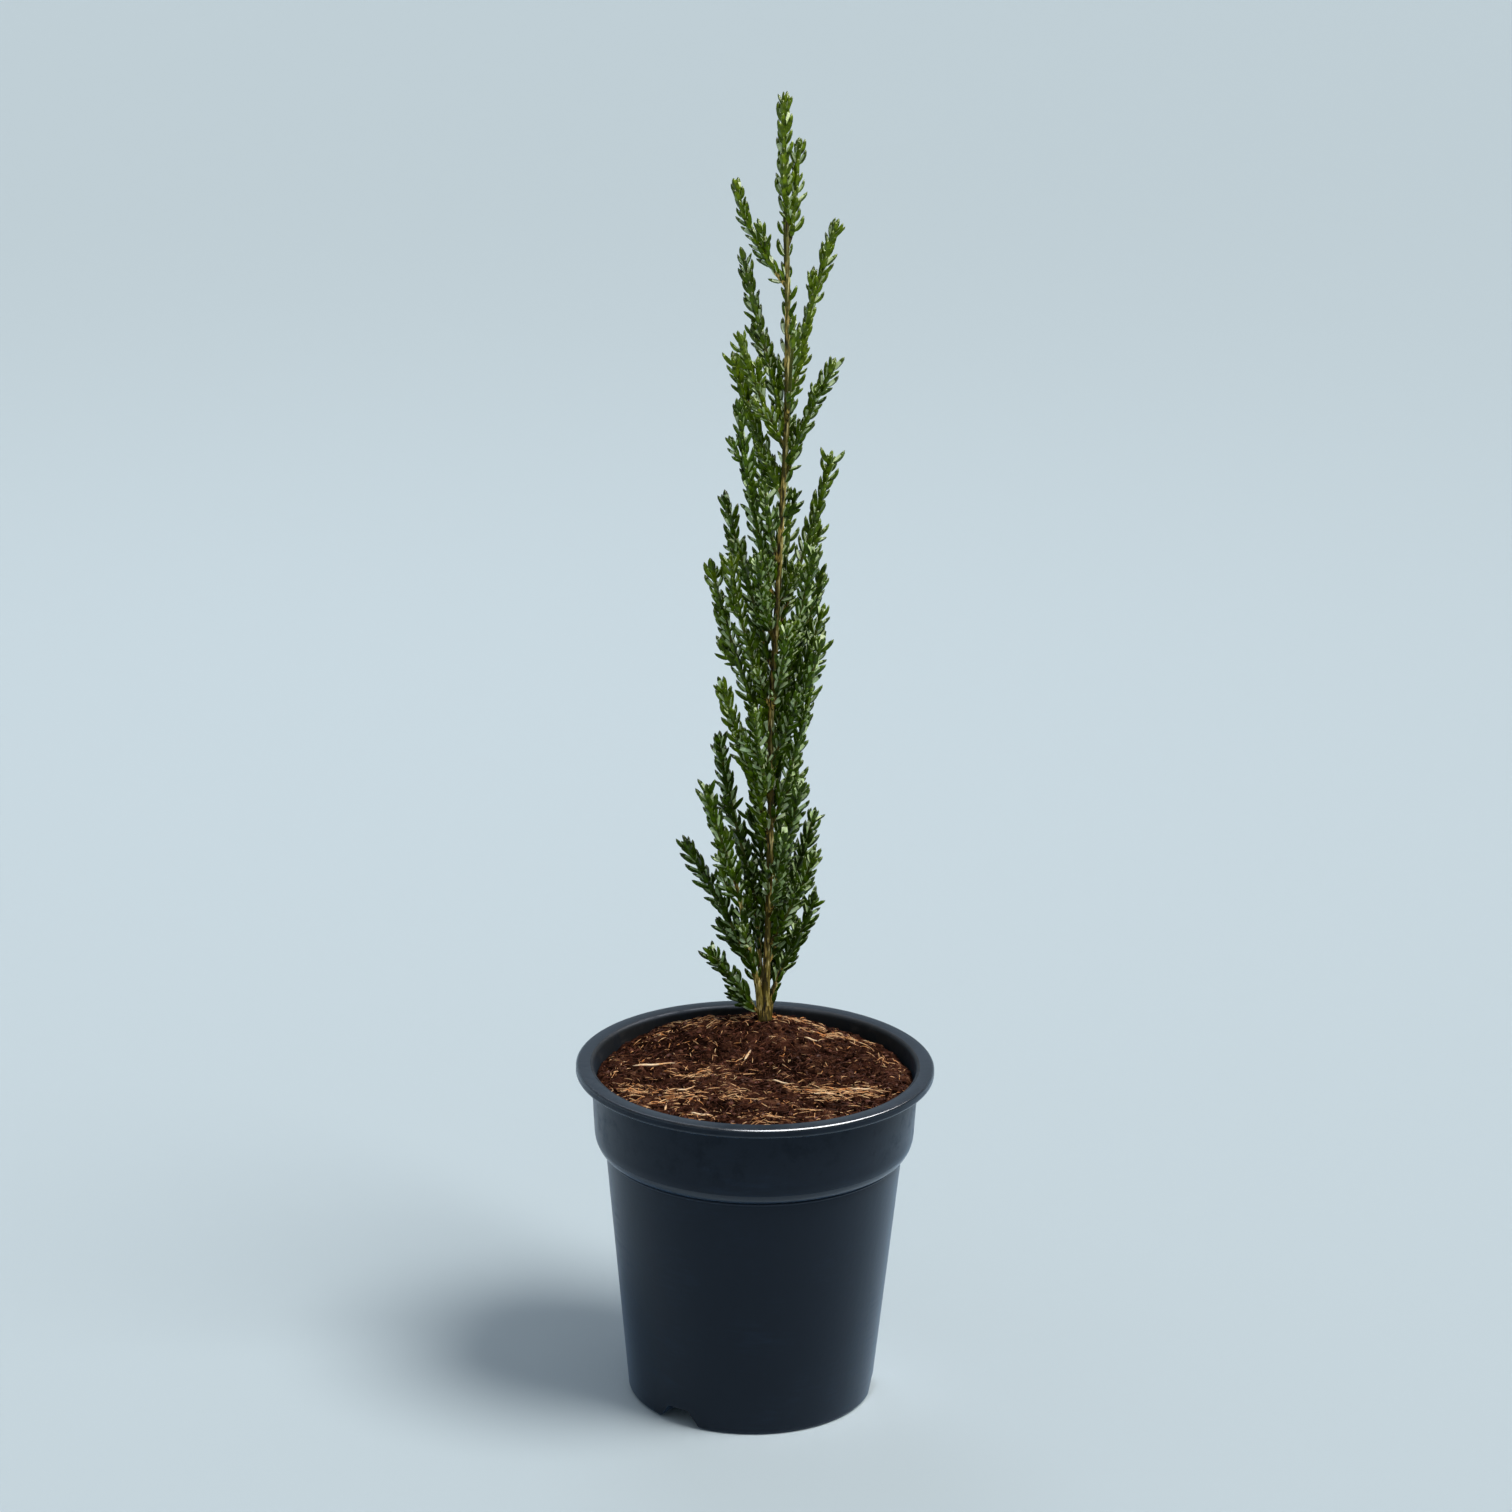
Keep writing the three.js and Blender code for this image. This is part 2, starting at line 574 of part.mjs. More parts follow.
// Side twigs leave the stem by turns in its upper part, each with leaves of its own
function sideTwigs(space) {
  const count = Math.round(space.mass.curve.getLength() / TWIG_SPACING);
  const turn = space.random() * Math.PI * 2;
  const twigs = [];
  for (let i = 0; i < count; i += 1) {
    const share = (i + 0.5 * space.random()) / Math.max(1, count - 0.5);
    twigs.push(sideTwig(space, mix(0.38, 0.84, share), turn + i * GOLDEN_TURN));
  }
  return twigs.filter((twig) => (
    twig.getSpacedPoints(5).slice(1).every((point) => isFree(point, space, PLUME_RADIUS))
  ));
}

function makeSpray(space) {
  const { curve, bare, pitch } = space.mass;
  const parts = [stemSolid(curve)];
  const leaves = [...leafPairs(curve, space, { start: bare, pitch, size: 1 }), ...tipLeaf(curve, space, 1)];
  for (const twig of sideTwigs(space)) {
    const row = { start: twig.getLength() / 2, pitch, size: TWIG_SIZE };
    parts.push(solidOf(taperedLimb(twig, (along) => mix(TWIG_RADIUS, TWIG_TIP_RADIUS, along), 3, 3)));
    leaves.push(...leafPairs(twig, space, row), ...tipLeaf(twig, space, TWIG_SIZE));
  }
  return largestPiece(wasm.Manifold.union([...parts, ...leaves.map(leafSolid)]));
}

function makeMass(spray, limbs) {
  const limb = limbs.find((one) => one.name === spray.on);
  const curve = seated((offset) => stemCurve(spray, limb, offset), limb);
  const bare = spray.on === 'trunk' ? STEM_BARE_ON_TRUNK : STEM_BARE_ON_BOUGH;
  return { name: spray.name, curve, bare, pitch: LEAF_PITCH };
}

function makeLeader(trunk) {
  const curve = seated((offset) => leaderCurve(trunk, offset), trunk);
  return { name: 'leader_tip', curve, bare: 2, pitch: LEADER_PITCH };
}

// The whole plant

const plastic = new THREE.MeshStandardMaterial({ color: 0x1e252d, roughness: 0.42, metalness: 0 });
const compost = new THREE.MeshStandardMaterial({ color: 0x4a2e22, roughness: 0.95, metalness: 0 });
const bark = new THREE.MeshStandardMaterial({ color: 0x6b4a2a, roughness: 0.8, metalness: 0 });
const foliage = new THREE.MeshStandardMaterial({ color: 0x33501f, roughness: 0.6, metalness: 0 });

function named(name, geometry, material) {
  const mesh = new THREE.Mesh(geometry, material);
  mesh.name = name;
  return mesh;
}

function makePlant() {
  const plant = new THREE.Group();
  const limbs = [makeTrunk(), ...BOUGHS.map(makeBough)];
  for (const limb of limbs) {
    limb.points = sampled(limb.curve);
    plant.add(named(limb.name, geometryOf(limb.solid), bark));
  }
  const front = fillSprays('front', -FILL_REACH, FRONT_SPRAYS);
  const back = fillSprays('back', FILL_REACH, BACK_SPRAYS);
  const masses = [...SPRAYS, ...front, ...back].map((spray) => makeMass(spray, limbs));
  masses.push(makeLeader(limbs[0]));
  for (const mass of masses) mass.points = sampled(mass.curve);
  masses.forEach((mass, index) => {
    const others = masses.filter((other) => other !== mass);
    const space = { mass, others, limbs, random: seededRandom(1200 + index * 37) };
    plant.add(named(mass.name, geometryOf(makeSpray(space)), foliage));
  });
  return plant;
}

const model = new THREE.Group();
model.add(named('pot', makePot(), plastic));
model.add(named('potting_soil', makeSoil(), compost));
model.add(makePlant());

export default model;
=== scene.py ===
"""A young Italian cypress in a round nursery pot, dressed round its solids.

Sizes in the classes are in millimetres, in the frame of the solids: the origin is the middle of the
pot's flat underside, +X is the plant's right, +Y its back and +Z is up.
"""
import logging
import math
from dataclasses import dataclass, field
from enum import Enum
from typing import Callable

import bmesh
import bpy
import numpy as np
from mathutils import Matrix, Vector, noise


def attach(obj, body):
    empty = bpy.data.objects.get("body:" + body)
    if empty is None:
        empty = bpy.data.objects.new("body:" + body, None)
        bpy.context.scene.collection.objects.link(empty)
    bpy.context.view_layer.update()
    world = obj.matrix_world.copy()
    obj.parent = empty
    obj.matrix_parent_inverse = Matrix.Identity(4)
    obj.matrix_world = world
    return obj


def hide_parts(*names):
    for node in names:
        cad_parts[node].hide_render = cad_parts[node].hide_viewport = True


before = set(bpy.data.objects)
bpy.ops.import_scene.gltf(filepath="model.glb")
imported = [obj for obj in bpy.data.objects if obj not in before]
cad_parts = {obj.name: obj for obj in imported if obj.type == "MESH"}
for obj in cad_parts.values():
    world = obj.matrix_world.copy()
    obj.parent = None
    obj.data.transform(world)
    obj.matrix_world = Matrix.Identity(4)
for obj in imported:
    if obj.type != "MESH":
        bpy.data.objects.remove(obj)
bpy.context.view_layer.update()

log = logging.getLogger("potted_cypress")

MM = 0.001
UP = np.array([0.0, 0.0, 1.0])
BACK = np.array([0.0, 1.0, 0.0])
FULL_TURN = 2 * math.pi
GOLDEN_TURN = 2.4
NEAR = 0.001 * MM
PlaceAndLie = tuple[float, float, float, float]


# Numbers, colours and nodes


def mix(low: float, high: float, share: float) -> float:
    """Value at a share of the way from low to high."""
    return low + (high - low) * share


def linear(hex_code: str) -> tuple[float, float, float, float]:
    """Turn an sRGB hex colour into linear light.

    Args:
        hex_code: Colour such as "#33501f".

    Returns:
        Red, green, blue and an alpha of one.
    """
    values = [int(hex_code[i:i + 2], 16) / 255 for i in (1, 3, 5)]
    light = [v / 12.92 if v <= 0.04045 else ((v + 0.055) / 1.055) ** 2.4 for v in values]
    return (light[0], light[1], light[2], 1.0)


def scale_for(size_mm: float) -> float:
    """Texture scale that gives a pattern of that size in millimetres."""
    return 1 / (size_mm * MM)


def add_node(tree: bpy.types.NodeTree, kind: str, settings: dict | None = None,
             inputs: dict | None = None) -> bpy.types.Node:
    """Add one node with its settings and links.

    Args:
        tree: Node tree that takes the node.
        kind: Blender's type name of the node.
        settings: Node properties by name.
        inputs: Values or output sockets by the input's name or number.

    Returns:
        The new node.
    """
    node = tree.nodes.new(kind)
    for name, value in (settings or {}).items():
        setattr(node, name, value)
    for key, value in (inputs or {}).items():
        if isinstance(value, bpy.types.NodeSocket):
            tree.links.new(value, node.inputs[key])
        else:
            node.inputs[key].default_value = value
    return node


def begin_material(name: str) -> tuple[bpy.types.Material, bpy.types.NodeTree]:
    """Start an empty node material.

    Args:
        name: Name of the finish.

    Returns:
        The material and its cleared node tree.
    """
    material = bpy.data.materials.new(name)
    material.use_nodes = True
    material.node_tree.nodes.clear()
    return material, material.node_tree


def end_material(tree: bpy.types.NodeTree, shader: dict) -> None:
    """Close the material of a node tree with its shader, whose inputs are given by name."""
    surface = add_node(tree, "ShaderNodeBsdfPrincipled", None, shader)
    add_node(tree, "ShaderNodeOutputMaterial", None, {"Surface": surface.outputs["BSDF"]})


# Meshes from arrays


def unit(vectors: np.ndarray) -> np.ndarray:
    """Vectors of length one, along the last axis."""
    return vectors / np.maximum(np.linalg.norm(vectors, axis=-1, keepdims=True), 1e-9)


def level_way(angle: float) -> np.ndarray:
    """Level direction at an angle in radians from +X."""
    return np.array([math.cos(angle), math.sin(angle), 0.0])


def square_to(along: np.ndarray, turn: np.ndarray | float) -> np.ndarray:
    """Directions square to lines, each turned about its line.

    Args:
        along: Directions of the lines.
        turn: Angles in radians.

    Returns:
        One direction for each line.
    """
    side = unit(np.cross(along, BACK))
    angle = np.asarray(turn)[..., None]
    return side * np.cos(angle) + np.cross(along, side) * np.sin(angle)


def skin_faces(rings: int, sides: int) -> tuple[np.ndarray, np.ndarray]:
    """Faces of a skin over rings of points, with a point beyond each end that closes it.

    Args:
        rings: Number of rings, whose points come before the two end points.
        sides: Number of points in a ring.

    Returns:
        The quads between the rings, and the triangles of both ends.
    """
    ring = np.arange(rings - 1)[:, None] * sides
    side = np.arange(sides)
    after = (side + 1) % sides
    quads = np.stack([ring + side, ring + after, ring + sides + after, ring + sides + side], axis=-1)
    top = (rings - 1) * sides
    foot = np.stack([np.full(sides, rings * sides), after, side], axis=-1)
    head = np.stack([np.full(sides, rings * sides + 1), top + side, top + after], axis=-1)
    return quads.reshape(-1, 4), np.concatenate([foot, head])


@dataclass
class MeshData:
    """Points and faces of a mesh, in millimetres, with a finish number for each face.

    Where points have rib numbers, an edge between two points of one rib stays crisp.
    """

    points: np.ndarray
    quads: np.ndarray
    triangles: np.ndarray
    quad_slots: np.ndarray
    triangle_slots: np.ndarray
    ribs: np.ndarray | None = None

    @classmethod
    def plain(cls, points: np.ndarray, quads: np.ndarray, triangles: np.ndarray, slot: int = 0) -> "MeshData":
        """Mesh with one finish.

        Args:
            points: Corners as rows of three.
            quads: Rows of four corner numbers.
            triangles: Rows of three corner numbers.
            slot: Finish number.

        Returns:
            The mesh data.
        """
        quads = np.asarray(quads, dtype=np.int64).reshape(-1, 4)
        triangles = np.asarray(triangles, dtype=np.int64).reshape(-1, 3)
        return cls(np.asarray(points, dtype=float).reshape(-1, 3), quads, triangles,
                   np.full(len(quads), slot), np.full(len(triangles), slot))

    @classmethod
    def joined(cls, parts: list["MeshData"]) -> "MeshData":
        """Several meshes as one.

        Args:
            parts: The meshes to join.

        Returns:
            One mesh with all their faces.
        """
        starts = np.cumsum([0] + [len(part.points) for part in parts])
        return cls(
            np.concatenate([part.points for part in parts]),
            np.concatenate([part.quads + start for part, start in zip(parts, starts)]),
            np.concatenate([part.triangles + start for part, start in zip(parts, starts)]),
            np.concatenate([part.quad_slots for part in parts]),
            np.concatenate([part.triangle_slots for part in parts]),
        )

    def facing_out(self) -> "MeshData":
        """Turn the faces outwards.

        Returns:
            This mesh.
        """
        faces = np.concatenate([self.quads[:, [0, 1, 2]], self.quads[:, [0, 2, 3]], self.triangles])
        a, b, c = (self.points[faces[:, i]] for i in range(3))
        if np.einsum("ij,ij->i", a, np.cross(b, c)).sum() < 0:
            self.quads = self.quads[:, ::-1]
            self.triangles = self.triangles[:, ::-1]
        return self

    def make(self, name: str, finishes: list[bpy.types.Material]) -> bpy.types.Object:
        """Make a smooth Blender object from the arrays.

        Args:
            name: Name of the piece.
            finishes: Materials in the order of the finish numbers.

        Returns:
            The object, in metres and linked to the scene.
        """
        mesh = bpy.data.meshes.new(name)
        mesh.vertices.add(len(self.points))
        mesh.vertices.foreach_set("co", (self.points * MM).astype(np.float32).ravel())
        corners = np.concatenate([self.quads.ravel(), self.triangles.ravel()]).astype(np.int32)
        mesh.loops.add(len(corners))
        mesh.loops.foreach_set("vertex_index", corners)
        counts = np.concatenate([np.full(len(self.quads), 4), np.full(len(self.triangles), 3)])
        mesh.polygons.add(len(counts))
        mesh.polygons.foreach_set("loop_start", (np.cumsum(counts) - counts).astype(np.int32))
        for finish in finishes:
            mesh.materials.append(finish)
        slots = np.concatenate([self.quad_slots, self.triangle_slots]).astype(np.int32)
        mesh.polygons.foreach_set("material_index", slots)
        mesh.update(calc_edges=True)
        mesh.validate()
        mesh.polygons.foreach_set("use_smooth", np.ones(len(mesh.polygons), dtype=bool))
        if self.ribs is not None:
            ends = np.empty(2 * len(mesh.edges), dtype=np.int32)
            mesh.edges.foreach_get("vertices", ends)
            rib = self.ribs[ends.reshape(-1, 2)]
            crisp = (rib[:, 0] == rib[:, 1]) & (rib[:, 0] >= 0)
            mesh.attributes.new("sharp_edge", "BOOLEAN", "EDGE").data.foreach_set("value", crisp)
        piece = bpy.data.objects.new(name, mesh)
        bpy.context.scene.collection.objects.link(piece)
        return piece


def tubes(paths: np.ndarray, radii: np.ndarray, sides: int, slot: int = 0,
          ring_slots: np.ndarray | None = None) -> MeshData:
    """Round rods along several lines at once, each closed at both ends.

    Args:
        paths: Lines as an array of rods by rings by three.
        radii: Radius as rods by rings, or rods by rings by sides.
        sides: Number of sides.
        slot: Finish number.
        ring_slots: Finish number of each stretch between two rings, in place of slot.

    Returns:
        The mesh of all the rods.
    """
    steep = 0.75
    rods, rings, _ = paths.shape
    along = unit(np.gradient(paths, axis=1))
    mean = unit(paths[:, -1] - paths[:, 0])
    guide = np.where(np.abs(mean[:, 2:3]) > steep, np.array([[1.0, 0.0, 0.0]]), UP[None, :])
    across = unit(np.cross(along, guide[:, None, :]))
    other = np.cross(along, across)
    turn = np.arange(sides) * FULL_TURN / sides
    spoke = across[:, :, None, :] * np.cos(turn)[:, None] + other[:, :, None, :] * np.sin(turn)[:, None]
    reach = radii[..., None] if radii.ndim == 3 else radii[:, :, None, None]
    skin = paths[:, :, None, :] + spoke * reach
    points = np.concatenate([skin.reshape(rods, -1, 3), paths[:, :1], paths[:, -1:]], axis=1)
    quads, ends = skin_faces(rings, sides)
    shift = (np.arange(rods) * (rings * sides + 2))[:, None, None]
    mesh = MeshData.plain(points, quads[None] + shift, ends[None] + shift, slot)
    if ring_slots is not None:
        mesh.quad_slots = np.tile(np.repeat(ring_slots, sides), rods)
        mesh.triangle_slots = np.tile(np.repeat([ring_slots[0], ring_slots[-1]], sides), rods)
    return mesh.facing_out()


def turned(profile: np.ndarray, segments: int) -> MeshData:
    """Solid of revolution about Z.

    Args:
        profile: Rows of radius and height that start and end on the axis.
        segments: Number of segments round the axis.

    Returns:
        The closed mesh. Its rings come first, then the two points on the axis.
    """
    rows = profile[1:-1]
    turn = np.arange(segments) * FULL_TURN / segments
    ring = np.stack([np.cos(turn), np.sin(turn)], axis=-1)
    flat = rows[:, None, 0:1] * ring[None]
    skin = np.concatenate([flat, np.repeat(rows[:, None, 1:2], segments, axis=1)], axis=-1)
    poles = [[0, 0, profile[0, 1]], [0, 0, profile[-1, 1]]]
    points = np.concatenate([skin.reshape(-1, 3), poles])
    return MeshData.plain(points, *skin_faces(len(rows), segments)).facing_out()


def dense(rows: list[tuple[float, float]], step: float) -> np.ndarray:
    """Points added to a line so that no stretch of it is long.

    Args:
        rows: Corners of the line.
        step: Longest stretch.

    Returns:
        The line with its added points.
    """
    line = [rows[0]]
    for before, after in zip(rows, rows[1:]):
        count = max(1, math.ceil(math.dist(before, after) / step))
        line += [tuple(mix(a, b, i / count) for a, b in zip(before, after)) for i in range(1, count + 1)]
    return np.array(line)


class Carving(Enum):
    """Ways to work one solid with another."""

    JOIN = "UNION"
    CUT = "DIFFERENCE"
    KEEP = "INTERSECT"


def carve(piece: bpy.types.Object, tool: bpy.types.Object, way: Carving) -> None:
    """Work a piece with a tool solid, join points that fall together, and remove the tool.

    Args:
        piece: Object whose mesh is replaced by the result.
        tool: Closed solid.
        way: How the two are combined.
    """
    modifier = piece.modifiers.new("carve", "BOOLEAN")
    modifier.operation = way.value
    modifier.solver = "EXACT"
    modifier.object = tool
    worked = piece.evaluated_get(bpy.context.evaluated_depsgraph_get())
    mesh = bpy.data.meshes.new_from_object(worked)
    shape = bmesh.new()
    shape.from_mesh(mesh)
    bmesh.ops.remove_doubles(shape, verts=shape.verts, dist=NEAR)
    bmesh.ops.dissolve_degenerate(shape, edges=shape.edges, dist=NEAR)
    shape.to_mesh(mesh)
    shape.free()
    piece.modifiers.clear()
    piece.data = mesh
    bpy.data.objects.remove(tool)


def crease(piece: bpy.types.Object, degrees: float) -> None:
    """Shade smooth, and keep edges sharper than an angle crisp.

    Args:
        piece: Object to shade.
        degrees: Angle between faces from which an edge stays crisp.
    """
    shape = bmesh.new()
    shape.from_mesh(piece.data)
    for face in shape.faces:
        face.smooth = True
    for edge in shape.edges:
        edge.smooth = edge.calc_face_angle(0.0) < math.radians(degrees)
    shape.to_mesh(piece.data)
    shape.free()


# Lines through space


@dataclass
class Axis:
    """A smooth line through close points, read by the length run along it."""

    points: np.ndarray
    feel: float = 0.4
    run: np.ndarray = field(init=False)
    length: float = field(init=False)

    def __post_init__(self) -> None:
        """Measure the length run at each point."""
        steps = np.linalg.norm(np.diff(self.points, axis=0), axis=1)
        self.run = np.concatenate([[0.0], np.cumsum(steps)])
        self.length = float(self.run[-1])

    def at(self, run: np.ndarray | float) -> np.ndarray:
        """Points at the lengths run along the line."""
        return np.stack([np.interp(run, self.run, self.points[:, i]) for i in range(3)], axis=-1)

    def way(self, run: np.ndarray | float) -> np.ndarray:
        """Directions of the line, felt a little ahead and behind.

        Args:
            run: Lengths run along the line.

        Returns:
            Its directions there.
        """
        ahead = np.minimum(np.asarray(run) + self.feel, self.length)
        behind = np.maximum(np.asarray(run) - self.feel, 0.0)
        return unit(self.at(ahead) - self.at(behind))

    def evenly(self, step: float) -> np.ndarray:
        """Points at even steps of about that length, both ends among them."""
        return self.at(np.linspace(0, self.length, max(3, round(self.length / step) + 1)))


def bezier(first: np.ndarray, second: np.ndarray, third: np.ndarray, fourth: np.ndarray,
           steps: int = 60) -> np.ndarray:
    """Points along a cubic curve.

    Args:
        first: Start.
        second: Control point that the curve sets out for.
        third: Control point that it comes in from.
        fourth: End.
        steps: Number of stretches.

    Returns:
        The points, both ends among them.
    """
    t = np.linspace(0, 1, steps + 1)[:, None]
    return ((1 - t) ** 3 * first + 3 * (1 - t) ** 2 * t * second + 3 * (1 - t) * t ** 2 * third
            + t ** 3 * fourth)


def through(knots: np.ndarray, steps: int = 24) -> np.ndarray:
    """Points along a smooth line through knots, with speeds by the square root of their spacing.

    Args:
        knots: Points that the line passes.
        steps: Number of stretches between two knots.

    Returns:
        The points, both ends among them.
    """
    padded = np.concatenate([[2 * knots[0] - knots[1]], knots, [2 * knots[-1] - knots[-2]]])
    line = []
    for p0, p1, p2, p3 in zip(padded, padded[1:], padded[2:], padded[3:]):
        d0, d1, d2 = (max(math.sqrt(np.linalg.norm(b - a)), 1e-4) for a, b in ((p0, p1), (p1, p2), (p2, p3)))
        out = ((p1 - p0) / d0 - (p2 - p0) / (d0 + d1) + (p2 - p1) / d1) * d1
        into = ((p2 - p1) / d1 - (p3 - p1) / (d1 + d2) + (p3 - p2) / d2) * d1
        line.append(bezier(p1, p1 + out / 3, p2 - into / 3, p2, steps)[:-1])
    return np.concatenate([*line, knots[-1:]])


# Finishes


@dataclass(frozen=True)
class MouldedPolypropylene:
    """Injection-moulded polypropylene, blue-black, with the soft gloss of a polished mould.

    The eye sees a near-black skin with pale blurred reflections, a blue bloom towards its outline, a
    faint orange-peel waviness, a few dull rubbed places and dark smudges round the collar.
    """

    name: str = "moulded_polypropylene"
    colour: str = "#14171c"
    rubbed: str = "#18212d"
    ior: float = 1.49
    specular_level: float = 0.27
    specular_tint: str = "#bcd4f4"
    sheen: float = 0.29
    sheen_tint: str = "#72a3d6"
    sheen_roughness: float = 0.42
    gloss_roughness: float = 0.3
    rubbed_roughness: float = 0.44
    rub_mm: float = 26.0
    scratch_mm: float = 1.6  # real scratches are a tenth of a millimetre wide: drawn coarse to show
    scratch_stretch: float = 7.0
    peel_mm: float = 2.2
    peel_strength: float = 0.12
    peel_depth_mm: float = 0.2
    smudge: str = "#06080c"
    smudge_mm: float = 11.0
    smudged_from_mm: float = 108.0
    smudge_fade_mm: float = 5.0

    def material(self) -> bpy.types.Material:
        """Build the node material.

        Returns:
            The material.
        """
        material, tree = begin_material(self.name)
        place = add_node(tree, "ShaderNodeTexCoord").outputs["Object"]
        blot = add_node(tree, "ShaderNodeTexNoise", None, {
            "Vector": place, "Scale": scale_for(self.smudge_mm), "Detail": 6.0, "Roughness": 0.7})
        faint = add_node(tree, "ShaderNodeMapRange", None, {
            "Value": blot.outputs["Fac"], "From Min": 0.5, "From Max": 0.66})
        height = add_node(tree, "ShaderNodeSeparateXYZ", None, {"Vector": place})
        upper = add_node(tree, "ShaderNodeMapRange", None, {
            "Value": height.outputs["Z"], "From Min": self.smudged_from_mm * MM,
            "From Max": (self.smudged_from_mm + self.smudge_fade_mm) * MM})
        soiled = add_node(tree, "ShaderNodeMath", {"operation": "MULTIPLY"}, {
            0: faint.outputs["Result"], 1: upper.outputs["Result"]})
        rub = add_node(tree, "ShaderNodeTexNoise", None, {
            "Vector": place, "Scale": scale_for(self.rub_mm), "Detail": 6.0, "Roughness": 0.62})
        band = add_node(tree, "ShaderNodeMapping", None, {
            "Vector": place, "Scale": (1.0, 1.0, self.scratch_stretch)})
        scratch = add_node(tree, "ShaderNodeTexNoise", None, {
            "Vector": band.outputs["Vector"], "Scale": scale_for(self.scratch_mm * self.scratch_stretch),
            "Detail": 4.0})
        worn = add_node(tree, "ShaderNodeMapRange", None, {
            "Value": rub.outputs["Fac"], "From Min": 0.5, "From Max": 0.74})
        fine = add_node(tree, "ShaderNodeMapRange", None, {
            "Value": scratch.outputs["Fac"], "From Min": 0.42, "From Max": 0.72})
        dull = add_node(tree, "ShaderNodeMath", {"operation": "MULTIPLY"}, {
            0: worn.outputs["Result"], 1: fine.outputs["Result"]})
        colour = add_node(tree, "ShaderNodeMix", {"data_type": "RGBA"}, {
            0: dull.outputs["Value"], 6: linear(self.colour), 7: linear(self.rubbed)})
        dark = add_node(tree, "ShaderNodeMix", {"data_type": "RGBA"}, {
            0: soiled.outputs["Value"], 6: colour.outputs[2], 7: linear(self.smudge)})
        worst = add_node(tree, "ShaderNodeMath", {"operation": "MAXIMUM"}, {
            0: dull.outputs["Value"], 1: soiled.outputs["Value"]})
        rough = add_node(tree, "ShaderNodeMapRange", None, {
            "Value": worst.outputs["Value"], "To Min": self.gloss_roughness, "To Max": self.rubbed_roughness})
        peel = add_node(tree, "ShaderNodeTexNoise", None, {
            "Vector": place, "Scale": scale_for(self.peel_mm), "Detail": 2.0})
        bump = add_node(tree, "ShaderNodeBump", None, {
            "Height": peel.outputs["Fac"], "Strength": self.peel_strength,
            "Distance": self.peel_depth_mm * MM})
        end_material(tree, {
            "Base Color": dark.outputs[2], "Roughness": rough.outputs["Result"], "IOR": self.ior,
            "Specular IOR Level": self.specular_level, "Specular Tint": linear(self.specular_tint),
            "Sheen Weight": self.sheen, "Sheen Tint": linear(self.sheen_tint),
            "Sheen Roughness": self.sheen_roughness, "Normal": bump.outputs["Normal"]})
        return material


@dataclass(frozen=True)
class MoistPeat:
    """Milled peat, moist and crumbled by hand.

    The eye sees a dark red-brown ground with blacker wet patches and lighter dry crumbs. On the
    compost surface a darker and a paler copy are laid by height, as painted shade in the hollows
    and painted light on the crests.
    """

    name: str
    wet: str
    body: str
    dry: str
    crumb_mm: float = 2.2
    patch_mm: float = 14.0
    grit_mm: float = 0.7  # milled peat is finer still: drawn coarse to show
    grit_strength: float = 0.8
    grit_depth_mm: float = 0.5
    roughness: float = 0.95
    ior: float = 1.4

    def material(self) -> bpy.types.Material:
        """Build the node material.

        Returns:
            The material.
        """
        material, tree = begin_material(self.name)
        place = add_node(tree, "ShaderNodeTexCoord").outputs["Object"]
        patch = add_node(tree, "ShaderNodeTexNoise", None, {
            "Vector": place, "Scale": scale_for(self.patch_mm), "Detail": 5.0, "Roughness": 0.7})
        crumb = add_node(tree, "ShaderNodeTexNoise", None, {
            "Vector": place, "Scale": scale_for(self.crumb_mm), "Detail": 6.0, "Roughness": 0.75})
        wet = add_node(tree, "ShaderNodeMapRange", None, {
            "Value": patch.outputs["Fac"], "From Min": 0.38, "From Max": 0.6})
        dry = add_node(tree, "ShaderNodeMapRange", None, {
            "Value": crumb.outputs["Fac"], "From Min": 0.5, "From Max": 0.72})
        ground = add_node(tree, "ShaderNodeMix", {"data_type": "RGBA"}, {
            0: wet.outputs["Result"], 6: linear(self.wet), 7: linear(self.body)})
        colour = add_node(tree, "ShaderNodeMix", {"data_type": "RGBA"}, {
            0: dry.outputs["Result"], 6: ground.outputs[2], 7: linear(self.dry)})
        grit = add_node(tree, "ShaderNodeTexNoise", None, {
            "Vector": place, "Scale": scale_for(self.grit_mm), "Detail": 3.0})
        bump = add_node(tree, "ShaderNodeBump", None, {
            "Height": grit.outputs["Fac"], "Strength": self.grit_strength,
            "Distance": self.grit_depth_mm * MM})
        end_material(tree, {
            "Base Color": colour.outputs[2], "Roughness": self.roughness, "IOR": self.ior,
            "Specular IOR Level": 0.0, "Normal": bump.outputs["Normal"]})
        return material


@dataclass(frozen=True)
class CoirFibre:
    """Coconut fibre, combed out of the husk and cut short.

    The eye sees stiff hair-like strands with a dull silky shine along them.
    """

    name: str
    colour: str
    shade: str
    roughness: float = 0.5
    ior: float = 1.45
    specular_level: float = 0.04
    tint_mm: float = 3.0

    def material(self) -> bpy.types.Material:
        """Build the node material.

        Returns:
            The material.
        """
        material, tree = begin_material(self.name)
        place = add_node(tree, "ShaderNodeTexCoord").outputs["Object"]
        tint = add_node(tree, "ShaderNodeTexNoise", None, {
            "Vector": place, "Scale": scale_for(self.tint_mm), "Detail": 3.0})
        share = add_node(tree, "ShaderNodeMapRange", None, {
            "Value": tint.outputs["Fac"], "From Min": 0.35, "From Max": 0.65})
        colour = add_node(tree, "ShaderNodeMix", {"data_type": "RGBA"}, {
            0: share.outputs["Result"], 6: linear(self.shade), 7: linear(self.colour)})
        end_material(tree, {
            "Base Color": colour.outputs[2], "Roughness": self.roughness, "IOR": self.ior,
            "Specular IOR Level": self.specular_level})
        return material


